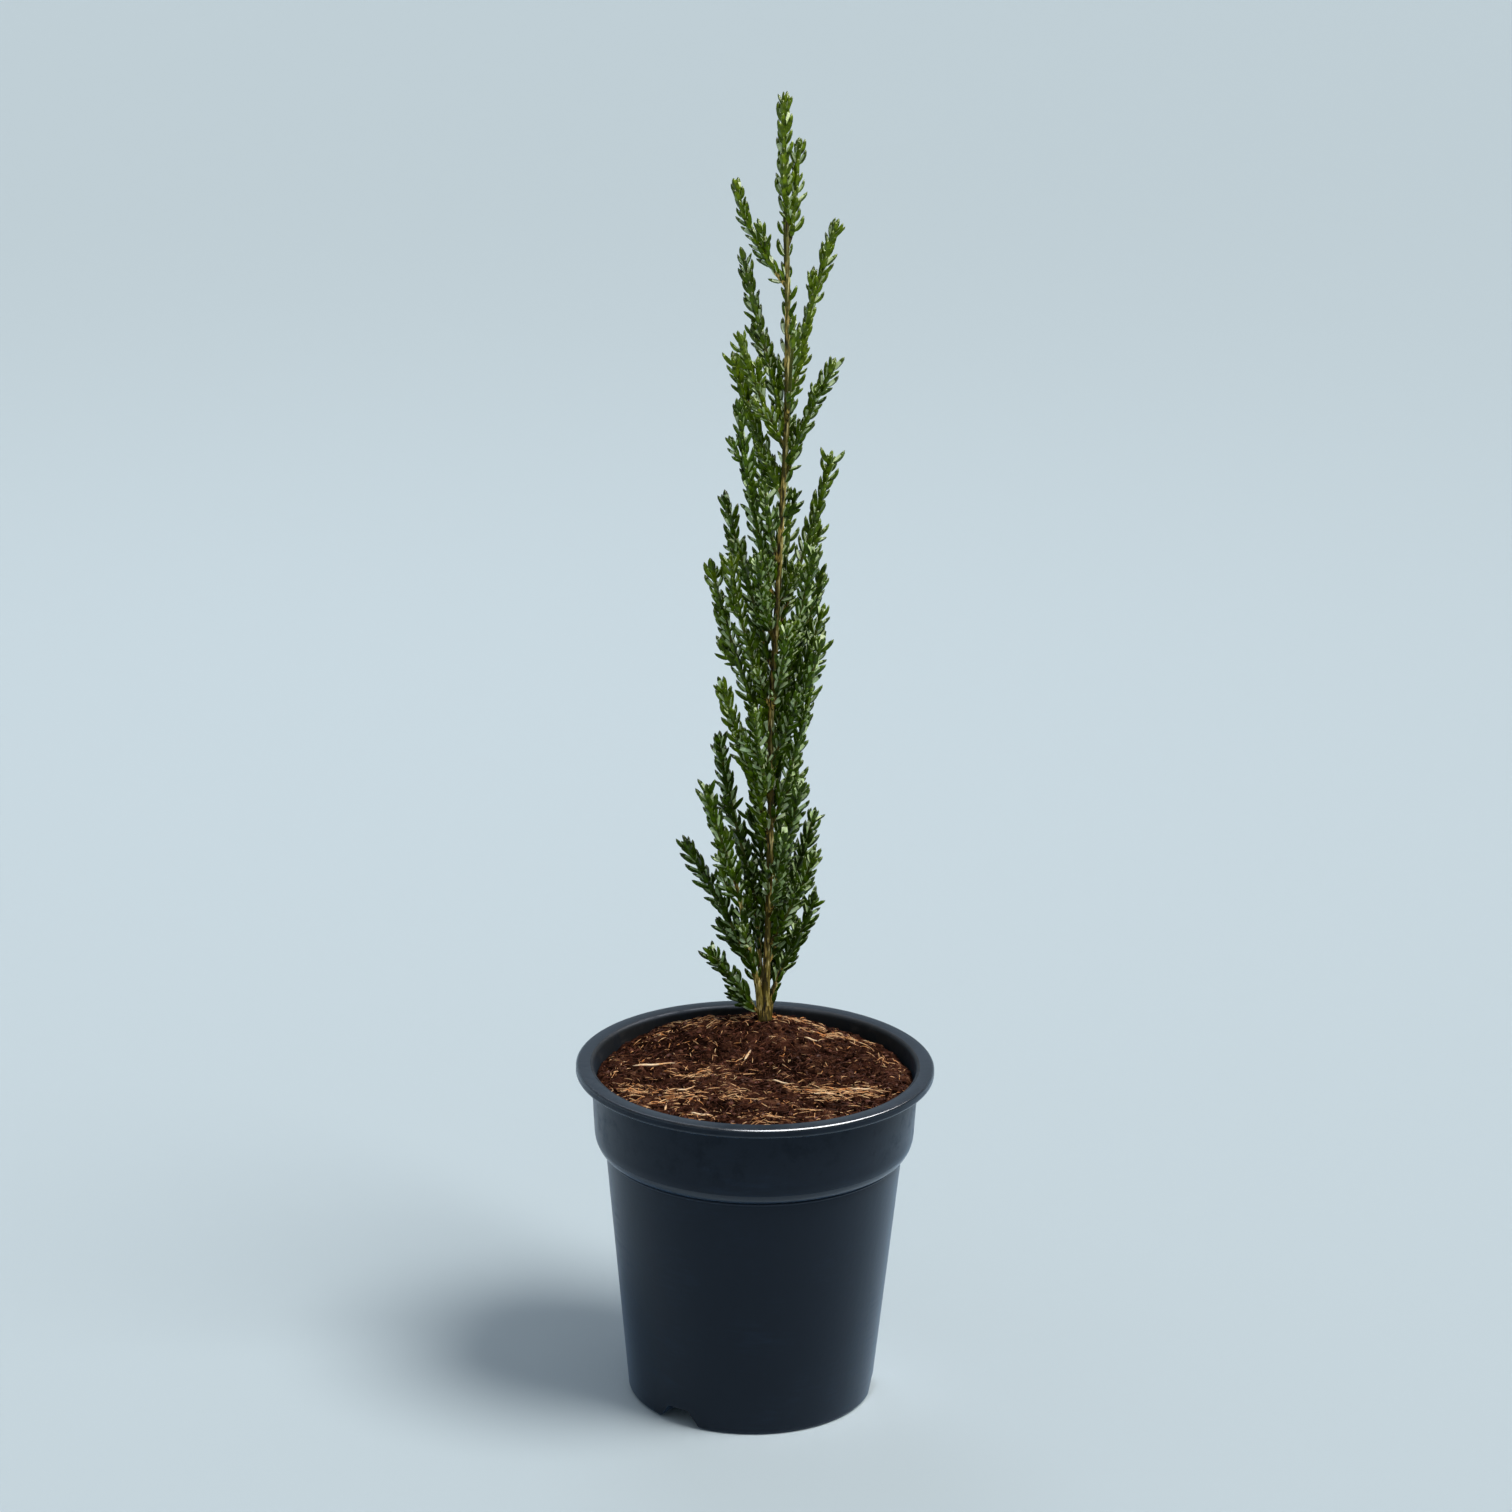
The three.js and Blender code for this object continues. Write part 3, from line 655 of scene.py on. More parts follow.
@dataclass(frozen=True)
class YoungBark:
    """Thin bark of a two-year-old conifer stem, split lengthwise as the stem thickens.

    The eye sees brown and golden streaks along the stem with a slight gloss on the ridges.
    """

    name: str
    furrow: str
    body: str
    ridge: str
    golden_from: float = 0.46
    golden_fade: float = 0.12
    green: str = "#4c4f18"
    green_share: float = 0.85
    green_from_mm: float = 330.0
    green_to_mm: float = 440.0
    streak_mm: float = 0.7
    streak_squeeze: float = 0.14
    streak_strength: float = 0.5
    streak_depth_mm: float = 0.15
    patch_mm: float = 9.0
    roughness: float = 0.6
    ior: float = 1.45
    specular_level: float = 0.14

    def material(self) -> bpy.types.Material:
        """Build the node material.

        Returns:
            The material.
        """
        material, tree = begin_material(self.name)
        place = add_node(tree, "ShaderNodeTexCoord").outputs["Object"]
        drawn = add_node(tree, "ShaderNodeMapping", None, {
            "Vector": place, "Scale": (1.0, 1.0, self.streak_squeeze)})
        streak = add_node(tree, "ShaderNodeTexNoise", None, {
            "Vector": drawn.outputs["Vector"], "Scale": scale_for(self.streak_mm), "Detail": 4.0})
        patch = add_node(tree, "ShaderNodeTexNoise", None, {
            "Vector": place, "Scale": scale_for(self.patch_mm), "Detail": 3.0})
        dark = add_node(tree, "ShaderNodeMapRange", None, {
            "Value": streak.outputs["Fac"], "From Min": 0.36, "From Max": 0.5})
        bright = add_node(tree, "ShaderNodeMapRange", None, {
            "Value": streak.outputs["Fac"], "From Min": 0.51, "From Max": 0.59})
        sunny = add_node(tree, "ShaderNodeMapRange", None, {
            "Value": patch.outputs["Fac"], "From Min": self.golden_from,
            "From Max": self.golden_from + self.golden_fade})
        golden = add_node(tree, "ShaderNodeMath", {"operation": "MULTIPLY"}, {
            0: bright.outputs["Result"], 1: sunny.outputs["Result"]})
        height = add_node(tree, "ShaderNodeSeparateXYZ", None, {"Vector": place})
        young = add_node(tree, "ShaderNodeMapRange", None, {
            "Value": height.outputs["Z"], "From Min": self.green_from_mm * MM,
            "From Max": self.green_to_mm * MM, "To Max": self.green_share})
        body = add_node(tree, "ShaderNodeMix", {"data_type": "RGBA"}, {
            0: young.outputs["Result"], 6: linear(self.body), 7: linear(self.green)})
        low = add_node(tree, "ShaderNodeMix", {"data_type": "RGBA"}, {
            0: dark.outputs["Result"], 6: linear(self.furrow), 7: body.outputs[2]})
        colour = add_node(tree, "ShaderNodeMix", {"data_type": "RGBA"}, {
            0: golden.outputs["Value"], 6: low.outputs[2], 7: linear(self.ridge)})
        bump = add_node(tree, "ShaderNodeBump", None, {
            "Height": streak.outputs["Fac"], "Strength": self.streak_strength,
            "Distance": self.streak_depth_mm * MM})
        end_material(tree, {
            "Base Color": colour.outputs[2], "Roughness": self.roughness, "IOR": self.ior,
            "Specular IOR Level": self.specular_level, "Normal": bump.outputs["Normal"]})
        return material


@dataclass(frozen=True)
class LeafSkin:
    """Waxy skin of an awl-shaped young leaf: dark on its back, pale on its face, where the glaucous bloom is
    painted paler still as a highlight.

    The eye sees green that shifts a little along each leaf, with a soft gloss from the wax.
    """

    name: str
    colour: str
    shade: str
    roughness: float = 0.36
    specular_level: float = 0.12
    ior: float = 1.46
    blotch_mm: float = 2.4

    def material(self) -> bpy.types.Material:
        """Build the node material.

        Returns:
            The material.
        """
        material, tree = begin_material(self.name)
        place = add_node(tree, "ShaderNodeTexCoord").outputs["Object"]
        blotch = add_node(tree, "ShaderNodeTexNoise", None, {
            "Vector": place, "Scale": scale_for(self.blotch_mm), "Detail": 4.0, "Roughness": 0.6})
        share = add_node(tree, "ShaderNodeMapRange", None, {
            "Value": blotch.outputs["Fac"], "From Min": 0.36, "From Max": 0.64})
        colour = add_node(tree, "ShaderNodeMix", {"data_type": "RGBA"}, {
            0: share.outputs["Result"], 6: linear(self.shade), 7: linear(self.colour)})
        end_material(tree, {
            "Base Color": colour.outputs[2], "Roughness": self.roughness, "IOR": self.ior,
            "Specular IOR Level": self.specular_level})
        return material


class Tone(Enum):
    """Greens that are dealt out spray by spray."""

    DEEP = 0
    MIDDLE = 1
    OLIVE = 2
    FRESH = 3


# Each green: a dark back and a pale face, the face glaucous bloom painted paler as a highlight.
LEAF_SKINS = {
    Tone.DEEP: (LeafSkin("leaf_back_deep", "#3c5503", "#1c2b00"),
                LeafSkin("leaf_face_deep", "#d4eab2", "#97b272", 0.4, 0.2)),
    Tone.MIDDLE: (LeafSkin("leaf_back_middle", "#4c6803", "#1f2f00"),
                  LeafSkin("leaf_face_middle", "#e6f7c6", "#b2ca8d", 0.4, 0.2)),
    Tone.OLIVE: (LeafSkin("leaf_back_olive", "#597204", "#263600"),
                 LeafSkin("leaf_face_olive", "#ebf8cc", "#bfd49b", 0.4, 0.2)),
    Tone.FRESH: (LeafSkin("leaf_back_fresh", "#6b820f", "#334401"),
                 LeafSkin("leaf_face_fresh", "#e6f3c4", "#bdd296", 0.4, 0.2)),
}


# The pot


class PotFace(Enum):
    """Finish numbers of the pot's faces."""

    MOULDED = 0
    DUSTY = 1
    POLISHED = 2


@dataclass
class NurseryPot:
    """Round thin-walled nursery pot with a stepped collar, a flat lip and three drainage channels."""

    height: float = 136.5
    rim_radius: float = 70.0
    rim_depth: float = 3.6
    rim_round: float = 0.95
    rim_lower_round: float = 1.0
    lip_shelf: float = 0.4
    lip_fall: float = 1.8
    wall: float = 1.2
    collar_top_radius: float = 64.0
    collar_foot_radius: float = 62.7
    collar_foot_height: float = 110.3
    body_top_radius: float = 58.2
    body_top_height: float = 102.0
    bead: float = 0.55
    base_radius: float = 48.6
    base_corner: float = 1.8
    base_rings: int = 9
    floor: float = 1.8
    floor_round: float = 3.2
    floor_fillet: float = 0.5
    segments: int = 180
    ring_step: float = 5.0
    crisp_degrees: float = 32.0
    channel_angles: tuple[float, ...] = (-125.0, -5.0, 115.0)
    channel_width: float = 22.0
    channel_roof: float = 7.0
    channel_height: float = 7.0
    channel_inner_radius: float = 30.0
    channel_below: float = 2.0
    drain_radius: float = 2.4
    drain_length: float = 8.0
    drain_sides: int = 24
    dust_depth: float = 14.0
    polished_above: float = 0.2
    polished_width: float = 4.2
    polished_edge: float = 1.15
    polished_slope: float = 0.12

    def outline(self, inset: float) -> list[tuple[float, float]]:
        """Outer line from the base to the foot of the collar.

        Args:
            inset: Distance that the line is moved in.

        Returns:
            Rows of radius and height.
        """
        rows = []
        for turn in np.radians(np.linspace(0, 90, self.base_rings)):
            radius = self.base_radius - self.base_corner * (1 - math.sin(turn))
            rows.append((radius - inset, self.base_corner * (1 - math.cos(turn))))
        for turn in np.radians(np.linspace(-90, 60, 8)) if inset == 0 else []:
            rows.append((self.body_top_radius + self.bead * math.cos(turn),
                         self.body_top_height - self.bead * (1.2 - math.sin(turn))))
        for turn in np.radians(np.linspace(0, 90, 13)):
            radius = mix(self.body_top_radius, self.collar_foot_radius, math.sin(turn))
            height = mix(self.body_top_height, self.collar_foot_height, 1 - math.cos(turn))
            rows.append((radius - inset, height))
        return rows

    def rim(self) -> list[tuple[float, float]]:
        """Line round the lip, from under it to its inner edge.

        Returns:
            Radius and height of its points.
        """
        foot, low, top = self.height - self.rim_depth, self.rim_lower_round, self.rim_round
        shelf, inner = self.collar_top_radius + self.lip_shelf, self.wall + self.lip_shelf
        rows = [(self.collar_top_radius, foot)]
        for turn in np.radians(np.linspace(-90, 0, 5)):
            rows.append((self.rim_radius - low * (1 - math.cos(turn)), foot + low * (1 + math.sin(turn))))
        for turn in np.radians(np.linspace(0, 90, 7)):
            rows.append((self.rim_radius - top * (1 - math.cos(turn)),
                         self.height - top * (1 - math.sin(turn))))
        rows.append((shelf, self.height))
        for turn in np.radians(np.linspace(20, 90, 5)):
            rows.append((shelf - inner * math.sin(turn), self.height - self.lip_fall * (1 - math.cos(turn))))
        return rows

    def profile(self) -> np.ndarray:
        """Whole closed profile, from the axis underneath to the axis inside.

        Returns:
            Radius and height of its points.
        """
        inside = self.outline(self.wall)[self.base_rings - 1:][::-1]
        radius = self.base_radius - self.wall
        floor = [(radius - self.floor_round / 2, self.floor + self.floor_fillet),
                 (radius - self.floor_round, self.floor)]
        skin = dense([*self.outline(0.0), *self.rim(), *inside, *floor], self.ring_step)
        return np.array([(0.0, 0.0), *skin, (0.0, self.floor)])

    def channel(self, grow: float, angle: float) -> MeshData:
        """Block with the shape of a drainage channel.

        Args:
            grow: Distance that its sides and roof are moved out.
            angle: Direction of the channel in degrees.

        Returns:
            The closed block.
        """
        left, foot = [], -self.channel_below
        for t in np.linspace(0, 1, 13):
            side = mix(self.channel_width / 2, self.channel_roof / 2, t) + grow
            left.append((-side, self.channel_height * (1 - math.cos(math.pi * t)) / 2 + grow))
        half = self.channel_width / 2 + grow
        ring = [(-half, foot), *left, *[(-side, height) for side, height in left[::-1]], (half, foot)]
        near, far = self.channel_inner_radius - grow, self.rim_radius
        points = [(x, y, z) for x in (near, far) for y, z in ring]
        points += [(near, 0, foot / 2), (far, 0, foot / 2)]
        count = len(ring)
        quads = [(i, (i + 1) % count, count + (i + 1) % count, count + i) for i in range(count)]
        triangles = [(2 * count, (i + 1) % count, i) for i in range(count)]
        triangles += [(2 * count + 1, count + i, count + (i + 1) % count) for i in range(count)]
        turn = Matrix.Rotation(math.radians(angle), 3, "Z")
        return MeshData.plain(np.array(points) @ np.array(turn).T, quads, triangles).facing_out()

    def drain(self, angle: float) -> MeshData:
        """Round drain hole in the inner end of a channel.

        Args:
            angle: Direction of the channel in degrees.

        Returns:
            Block with the shape of the hole.
        """
        way = level_way(math.radians(angle))
        middle = way * self.channel_inner_radius + UP * self.channel_height / 2
        ends = [middle - way * self.drain_length / 2, middle + way * self.drain_length / 2]
        return tubes(np.array([ends]), np.full((1, 2), self.drain_radius), self.drain_sides)

    def polished(self, middle: Vector, normal: Vector) -> bool:
        """Whether a face lies on an edge that hands and other pots have rubbed smooth.

        Args:
            middle: Middle of the face.
            normal: Direction that it faces.

        Returns:
            True on the outer edges of the lip and on the turn under the collar.
        """
        outward = middle.x * normal.x + middle.y * normal.y > 0
        step = middle.z - self.body_top_height
        lip = middle.z > self.height - self.rim_depth - 0.1 and abs(normal.z) > self.polished_slope
        edge = math.hypot(middle.x, middle.y) > self.rim_radius - self.polished_edge
        return outward and (self.polished_above < step < self.polished_width or (lip and edge))

    def build(self) -> bpy.types.Object:
        """Build and dress the pot.

        Returns:
            The pot, in place of its solid.
        """
        finishes = [finish.material() for finish in (
            MouldedPolypropylene(),
            MouldedPolypropylene("dusty_polypropylene", "#1d1c1a", "#45403a", specular_level=0.14, sheen=0.1,
                                 gloss_roughness=0.5, rubbed_roughness=0.7, rub_mm=9.0),
            MouldedPolypropylene("polished_polypropylene", "#0b1520", "#1a2430", specular_level=0.58,
                                 specular_tint="#e2e9f2", gloss_roughness=0.2, rubbed_roughness=0.3),
        )]
        pot = turned(self.profile(), self.segments).make("nursery_pot", finishes)
        blocks = [self.channel(self.wall, angle) for angle in self.channel_angles]
        boxing = MeshData.joined(blocks).make("boxing", finishes)
        within = np.array([(0.0, 0.0), *self.outline(self.wall / 2), (0.0, self.collar_foot_height)])
        within[:, 1] += self.wall / 2  # it ends in the middle of the wall and the floor: no faces coincide
        carve(boxing, turned(within, self.segments).make("envelope", finishes), Carving.KEEP)
        carve(pot, boxing, Carving.JOIN)
        cuts = [self.channel(0.0, angle) for angle in self.channel_angles]
        cuts += [self.drain(angle) for angle in self.channel_angles]
        for cut in cuts:
            carve(pot, cut.make("cut", finishes), Carving.CUT)
        for face in pot.data.polygons:
            middle, normal = face.center, face.normal
            inside = middle.x * normal.x + middle.y * normal.y < 0
            if inside and middle.z > (self.height - self.dust_depth) * MM:
                face.material_index = PotFace.DUSTY.value
            elif self.polished(middle / MM, normal):
                face.material_index = PotFace.POLISHED.value
        crease(pot, self.crisp_degrees)
        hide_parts("pot")
        return pot


# The compost


@dataclass
class Plant:
    """Place of the plant in the pot."""

    x: float = 3.8
    y: float = 47.0
    ground: float = 138.0

    def point(self, height: float, right: float, back: float) -> np.ndarray:
        """Point by its height above the ground and its offsets from the plant's axis."""
        return np.array([self.x + right, self.y + back, self.ground + height])


class Ground(Enum):
    """Finish numbers of the surface and its crumbs."""

    MOIST = 0
    # On the surface this darker peat is painted shade in the hollows; on crumbs it is wet peat.
    WET = 1
    # On the surface this paler peat is painted light on the crests; on crumbs it is dry peat.
    DRY = 2
    TAN = 3
    RUSSET = 4


@dataclass(frozen=True)
class StrawPatch:
    """Tangle of pale fibres that lie one way.

    The place of its middle, its radius, its heading in degrees and its number of fibres.
    """

    x: float
    y: float
    radius: float
    heading: float
    count: int


@dataclass
class CompostBed:
    """Peat and coir that fill the pot, with a low mound round the stem, fibres and crumbs."""

    pot: NurseryPot
    plant: Plant
    level: float = 131.2
    side_gap: float = 0.45
    mound_rise: float = 4.6
    mound_left: float = 48.0
    mound_right: float = 26.0
    mound_depth: float = 22.0
    dome_rise: float = 1.8
    edge_fall: float = 1.6
    edge_width: float = 12.0
    rings: int = 116
    segments: int = 360
    surface_depth: float = 12.0
    surface_skirt: float = 5.0
    body_segments: int = 96
    body_gap: float = 0.3
    body_crisp_degrees: float = 40.0
    lump_mm: float = 11.0
    lump_rise: float = 0.9
    clod_mm: float = 4.2
    clod_rise: float = 1.1
    grit_mm: float = 1.2
    grit_rise: float = 0.45
    calm_radius: float = 6.0
    calm_share: float = 0.5
    # Relief below and above which surface faces take painted shade and painted light.
    painted_shade_below: float = -0.25
    painted_light_above: float = 0.55
    hollows: tuple[tuple[float, float, float, float], ...] = (
        (-37, 25, 13, 9), (4, 8, 9, 14), (-8, -40, 12, 5))
    hollow_depth: float = 1.5
    loose_straw_count: int = 430
    loose_straw_lengths: tuple[float, float] = (1.0, 5.0)
    straw_radius: float = 0.145
    tan_count: int = 420
    tan_lengths: tuple[float, float] = (1.5, 6.0)
    tan_radius: float = 0.085
    fine_count: int = 2600
    fine_lengths: tuple[float, float] = (2.0, 8.0)
    fine_radius: float = 0.12
    patch_spread: tuple[float, float] = (0.85, 0.42)
    patch_straw_lengths: tuple[float, float] = (1.6, 7.5)
    patch_tan_lengths: tuple[float, float] = (2.0, 7.0)
    patch_tan_share: float = 0.3
    patch_wander: float = 0.42
    curl: float = 0.07
    crest_share: float = 0.55
    crumb_count: int = 2200
    crumb_crisp_degrees: float = 20.0
    crumb_mix: tuple[Ground, ...] = (
        *(Ground.MOIST,) * 3, *(Ground.WET,) * 3, Ground.DRY, *(Ground.RUSSET,) * 2)
    seed: int = 41
    patches: tuple[StrawPatch, ...] = (
        StrawPatch(-20, -5, 10, 12, 46), StrawPatch(-4, 10, 5, 75, 8), StrawPatch(38, -20, 10, 4, 86),
        StrawPatch(23, -21, 9, -6, 59), StrawPatch(-44, -20, 9, -14, 46), StrawPatch(-30, -28, 11, 10, 59),
        StrawPatch(-5, -29, 9, -8, 30), StrawPatch(33, 39, 9, -14, 40), StrawPatch(-16, 48, 10, 10, 53),
        StrawPatch(54, 12, 6, -60, 17), StrawPatch(10, -46, 12, 6, 36), StrawPatch(13, 51, 8, -20, 40),
        StrawPatch(-37, 36, 6, 24, 9), StrawPatch(-20, -52, 8, -24, 30), StrawPatch(-52, 4, 5, 70, 9),
    )
    husk: tuple[PlaceAndLie, ...] = (
        (-39.5, 5, 4, 17), (10, -13, -38, 8), (-20, -45, -24, 9), (-34, -38, 78, 6), (41, -17, 4, 8),
        (-3, 14, 70, 9), (22, 31, -35, 6), (-49, -22, -35, 7), (-27, -21, 14, 7), (27, -23, -5, 9),
    )

    def edge(self) -> float:
        """Radius of the compost at its level.

        Returns:
            That radius, short of the wall.
        """
        pot = self.pot
        share = (self.level - pot.collar_foot_height) / (pot.height - pot.collar_foot_height)
        return mix(pot.collar_foot_radius, pot.collar_top_radius, share) - pot.wall - self.side_gap

    def swell(self, x: float, y: float) -> float:
        """Height of the surface without its lumps.

        Args:
            x: Place to the right.
            y: Place to the back.

        Returns:
            Height above the underside of the pot.
        """
        wide = self.mound_left if x < self.plant.x else self.mound_right
        away = math.hypot((x - self.plant.x) / wide, (y - self.plant.y) / self.mound_depth)
        mound = self.mound_rise * math.exp(-away * away)
        middle = math.hypot(x, y)
        fall = max(0.0, 1 - (self.edge() - middle) / self.edge_width)
        dome = self.dome_rise * (1 - (middle / self.edge()) ** 2)
        return self.level + mound + dome - self.edge_fall * fall * fall

    def relief(self, x: float, y: float) -> float:
        """Height of the lumps and crumbs at a place, flatter close to the stem.

        Args:
            x: Place to the right.
            y: Place to the back.

        Returns:
            Height above the swell, or below it.
        """
        lump = noise.fractal(Vector((x / self.lump_mm, y / self.lump_mm, 0.3)), 0.8, 2.1, 2) * self.lump_rise
        clod = noise.fractal(Vector((x / self.clod_mm, y / self.clod_mm, 5.1)), 0.7, 2.2, 3) * self.clod_rise
        grit = noise.noise(Vector((x / self.grit_mm, y / self.grit_mm, 9.7))) * self.grit_rise
        near = math.hypot(x - self.plant.x, y - self.plant.y) < self.calm_radius
        sunk = sum(math.exp(-((x - hx) / wide) ** 2 - ((y - hy) / deep) ** 2)
                   for hx, hy, wide, deep in self.hollows)
        return (self.calm_share if near else 1.0) * (lump + clod + grit) - self.hollow_depth * sunk

    def height_at(self, x: float, y: float) -> float:
        """Height of the surface at a place to the right and to the back."""
        return self.swell(x, y) + self.relief(x, y)

    def surface(self) -> bpy.types.Object:
        """Crumbled top layer, closed underneath, with painted shade in its hollows and painted light on its
        crests.

        Returns:
            The piece.
        """
        radius = self.edge()
        rows = [(0.0, self.level)]
        rows += [(radius * (i + 0.5) / self.rings, self.level) for i in range(self.rings)]
        foot = self.level - self.surface_depth
        rows += [(radius, self.level - self.surface_skirt), (radius - 0.4, foot), (0.0, foot)]
        mesh = turned(np.array(rows), self.segments)
        relief = np.full(len(mesh.points), -2.0)
        for i in [*range(self.rings * self.segments), len(mesh.points) - 2]:
            x, y = mesh.points[i, :2]
            relief[i] = self.relief(x, y)
            mesh.points[i, 2] = self.swell(x, y) + relief[i]
        # Painted shade and light: faces low in the relief take the darker peat, faces high in it the paler.
        lift = relief[mesh.quads].mean(axis=1)
        mesh.quad_slots = np.where(lift < self.painted_shade_below, Ground.WET.value, np.where(
            lift > self.painted_light_above, Ground.DRY.value, Ground.MOIST.value))
        finishes = [
            MoistPeat("moist_peat", "#1d0f0b", "#3d231b", "#684533"),
            MoistPeat("wet_peat", "#100806", "#24130e", "#3f281e"),
            MoistPeat("dry_peat", "#321d16", "#603f30", "#966e55"),
        ]
        piece = mesh.make("compost_surface", [finish.material() for finish in finishes])
        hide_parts("potting_soil")
        return piece

    def body(self) -> bpy.types.Object:
        """Packed compost under the top layer, with room for the drainage channels.

        Returns:
            The piece.
        """
        pot, inset = self.pot, self.pot.wall + self.side_gap
        outline = pot.outline(inset)[pot.base_rings - 1:]
        wall = [(radius, height + self.body_gap / 2) for radius, height in outline]
        radius = pot.base_radius - inset
        foot = pot.floor + self.body_gap
        floor = [(radius - pot.floor_round, foot), (radius - pot.floor_round / 2, foot + pot.floor_fillet)]
        top = self.level - self.surface_depth + 2
        skin = dense([*floor, *wall, (self.edge() - 0.5, top)], 8.0)
        rows = np.array([(0.0, foot), *skin, (0.0, top)])
        piece = turned(rows, self.body_segments).make("compost_body", [bpy.data.materials["moist_peat"]])
        for angle in pot.channel_angles:
            block = pot.channel(pot.wall + self.body_gap, angle)
            carve(piece, block.make("block", []), Carving.CUT)
        crease(piece, self.body_crisp_degrees)
        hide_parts("potting_soil")
        return piece

    def spot(self, random: np.random.Generator, margin: float) -> tuple[float, float]:
        """Random place on the surface.

        Args:
            random: Source of numbers.
            margin: Distance kept from the edge.

        Returns:
            Place to the right and to the back.
        """
        radius = (self.edge() - margin) * math.sqrt(random.random())
        turn = random.random() * FULL_TURN
        return radius * math.cos(turn), radius * math.sin(turn)

    def fibre_path(self, random: np.random.Generator, x: float, y: float, heading: float,
                   length: float) -> np.ndarray:
        """One stiff fibre that lies in a slight arc across the crests of the surface.

        Args:
            random: Source of numbers.
            x: Place of its middle to the right.
            y: Place of its middle to the back.
            heading: Direction that it lies in, in radians.
            length: Length of the fibre.

        Returns:
            Six points.
        """
        bend = random.normal(0, self.curl)
        lift = abs(random.normal(0, 0.35)) + 0.1
        tilt = random.normal(0, 0.5)
        steps = np.linspace(-0.5, 0.5, 6)
        rows = []
        for t in steps:
            turn = heading + bend * t
            px, py = x + math.cos(turn) * length * t, y + math.sin(turn) * length * t
            out = math.hypot(px, py) / (self.edge() - 0.9)
            px, py = px / max(1.0, out), py / max(1.0, out)
            rows.append((px, py, self.height_at(px, py)))
        path = np.array(rows)
        slope = (path[-1, 2] + path[-2, 2] - path[0, 2] - path[1, 2]) / (2 * (steps[-2] - steps[0]))
        line = path[:, 2].mean() + slope * steps
        line += self.crest_share * (path[:, 2] - line).max()
        path[:, 2] = line + lift * (1 - 4 * steps * steps) * 0.5 + 0.1 + tilt * steps
        return path

    def strands(self, random: np.random.Generator, rows: list[PlaceAndLie], radius: float,
                slot: int) -> MeshData:
        """Fibres as fine rods.

        Args:
            random: Source of numbers.
            rows: Place to the right and back, heading and length of each.
            radius: Mean radius.
            slot: Finish number.

        Returns:
            The mesh of the fibres.
        """
        paths = np.array([self.fibre_path(random, *row) for row in rows])
        taper = np.array([0.5, 0.95, 1.0, 1.0, 0.8, 0.4])
        girth = radius * (0.7 + 0.7 * random.random((len(rows), 1)))
        return tubes(paths, girth * taper, 3, slot)

    def scattered(self, random: np.random.Generator, count: int, low: float,
                  high: float) -> list[PlaceAndLie]:
        """Place, heading and length of fibres that lie anywhere, between two lengths."""
        return [(*self.spot(random, 1.5), random.random() * math.pi, mix(low, high, random.random() ** 2))
                for _ in range(count)]

    def kept_in(self, place: np.ndarray) -> np.ndarray:
        """Place moved towards the middle where it would lie too near the edge."""
        away = np.hypot(*place)
        return place * ((self.edge() - 2.5) / away) if away > self.edge() - 1.5 else place

    def fibres(self) -> bpy.types.Object:
        """Coir over the whole surface, with its pale strands in patches.

        Returns:
            The piece.
        """
        random = np.random.default_rng(self.seed)
        finishes = [
            CoirFibre("coir_straw", "#ffd8a6", "#e6985a", 0.4).material(),
            CoirFibre("coir_tan", "#ab7149", "#653b27", 0.42).material(),
            CoirFibre("coir_russet", "#673b2c", "#361c14").material(),
            CoirFibre("husk_strip", "#ffe6c4", "#e9b27c", 0.4).material(),
        ]
        straw = self.scattered(random, self.loose_straw_count, *self.loose_straw_lengths)
        tan = self.scattered(random, self.tan_count, *self.tan_lengths)
        for patch in self.patches:
            turn = math.radians(patch.heading)
            lie = np.array([[math.cos(turn), math.sin(turn)], [-math.sin(turn), math.cos(turn)]])
            spread = patch.radius * np.array(self.patch_spread)
            for _ in range(patch.count):
                x, y = self.kept_in(random.normal(0, spread) @ lie + (patch.x, patch.y))
                heading = turn + random.normal(0, self.patch_wander)
                straw.append((x, y, heading, random.uniform(*self.patch_straw_lengths)))
                if random.random() < self.patch_tan_share:
                    tan.append((x, y, heading + random.normal(0, 0.6),
                                random.uniform(*self.patch_tan_lengths)))
        meshes = [self.strands(random, straw, self.straw_radius, 0),
                  self.strands(random, tan, self.tan_radius, 1)]
        fine = self.scattered(random, self.fine_count, *self.fine_lengths)
        meshes.append(self.strands(random, fine, self.fine_radius, 2))
        piece = MeshData.joined(meshes).make("coir_fibres", finishes)
        return piece

    def husk_strips(self) -> bpy.types.Object:
        """Flat torn strips of husk that lie on top.

        Returns:
            The piece.
        """
        random = np.random.default_rng(self.seed + 2)
        torn = np.array([0.25, 0.8, 1, 0.95, 1, 0.9, 0.6, 0.2])
        paths, widths = [], []
        for x, y, heading, length in self.husk:
            way = level_way(math.radians(heading))[:2]
            across = way[::-1] * np.array([-1, 1])
            rows = []
            for t in np.linspace(-0.5, 0.5, len(torn)):
                px, py = np.array([x, y]) + way * length * t + across * math.sin(4 * t) * 0.35
                rows.append((px, py, self.swell(px, py) + 0.75 + 0.2 * math.sin(9 * t + x)))
            paths.append(rows)
            widths.append(min(0.75, 0.3 + length * 0.03) * torn)
        flat = np.array([1.0, 0.7, 0.5, 0.7, 1.0, 0.7, 0.5, 0.7])
        radii = np.array(widths)[:, :, None] * flat
        radii = radii * random.uniform(0.85, 1.1, radii.shape)
        mesh = tubes(np.array(paths), radii, len(flat))
        piece = mesh.make("husk_strips", [bpy.data.materials["husk_strip"]])
        return piece

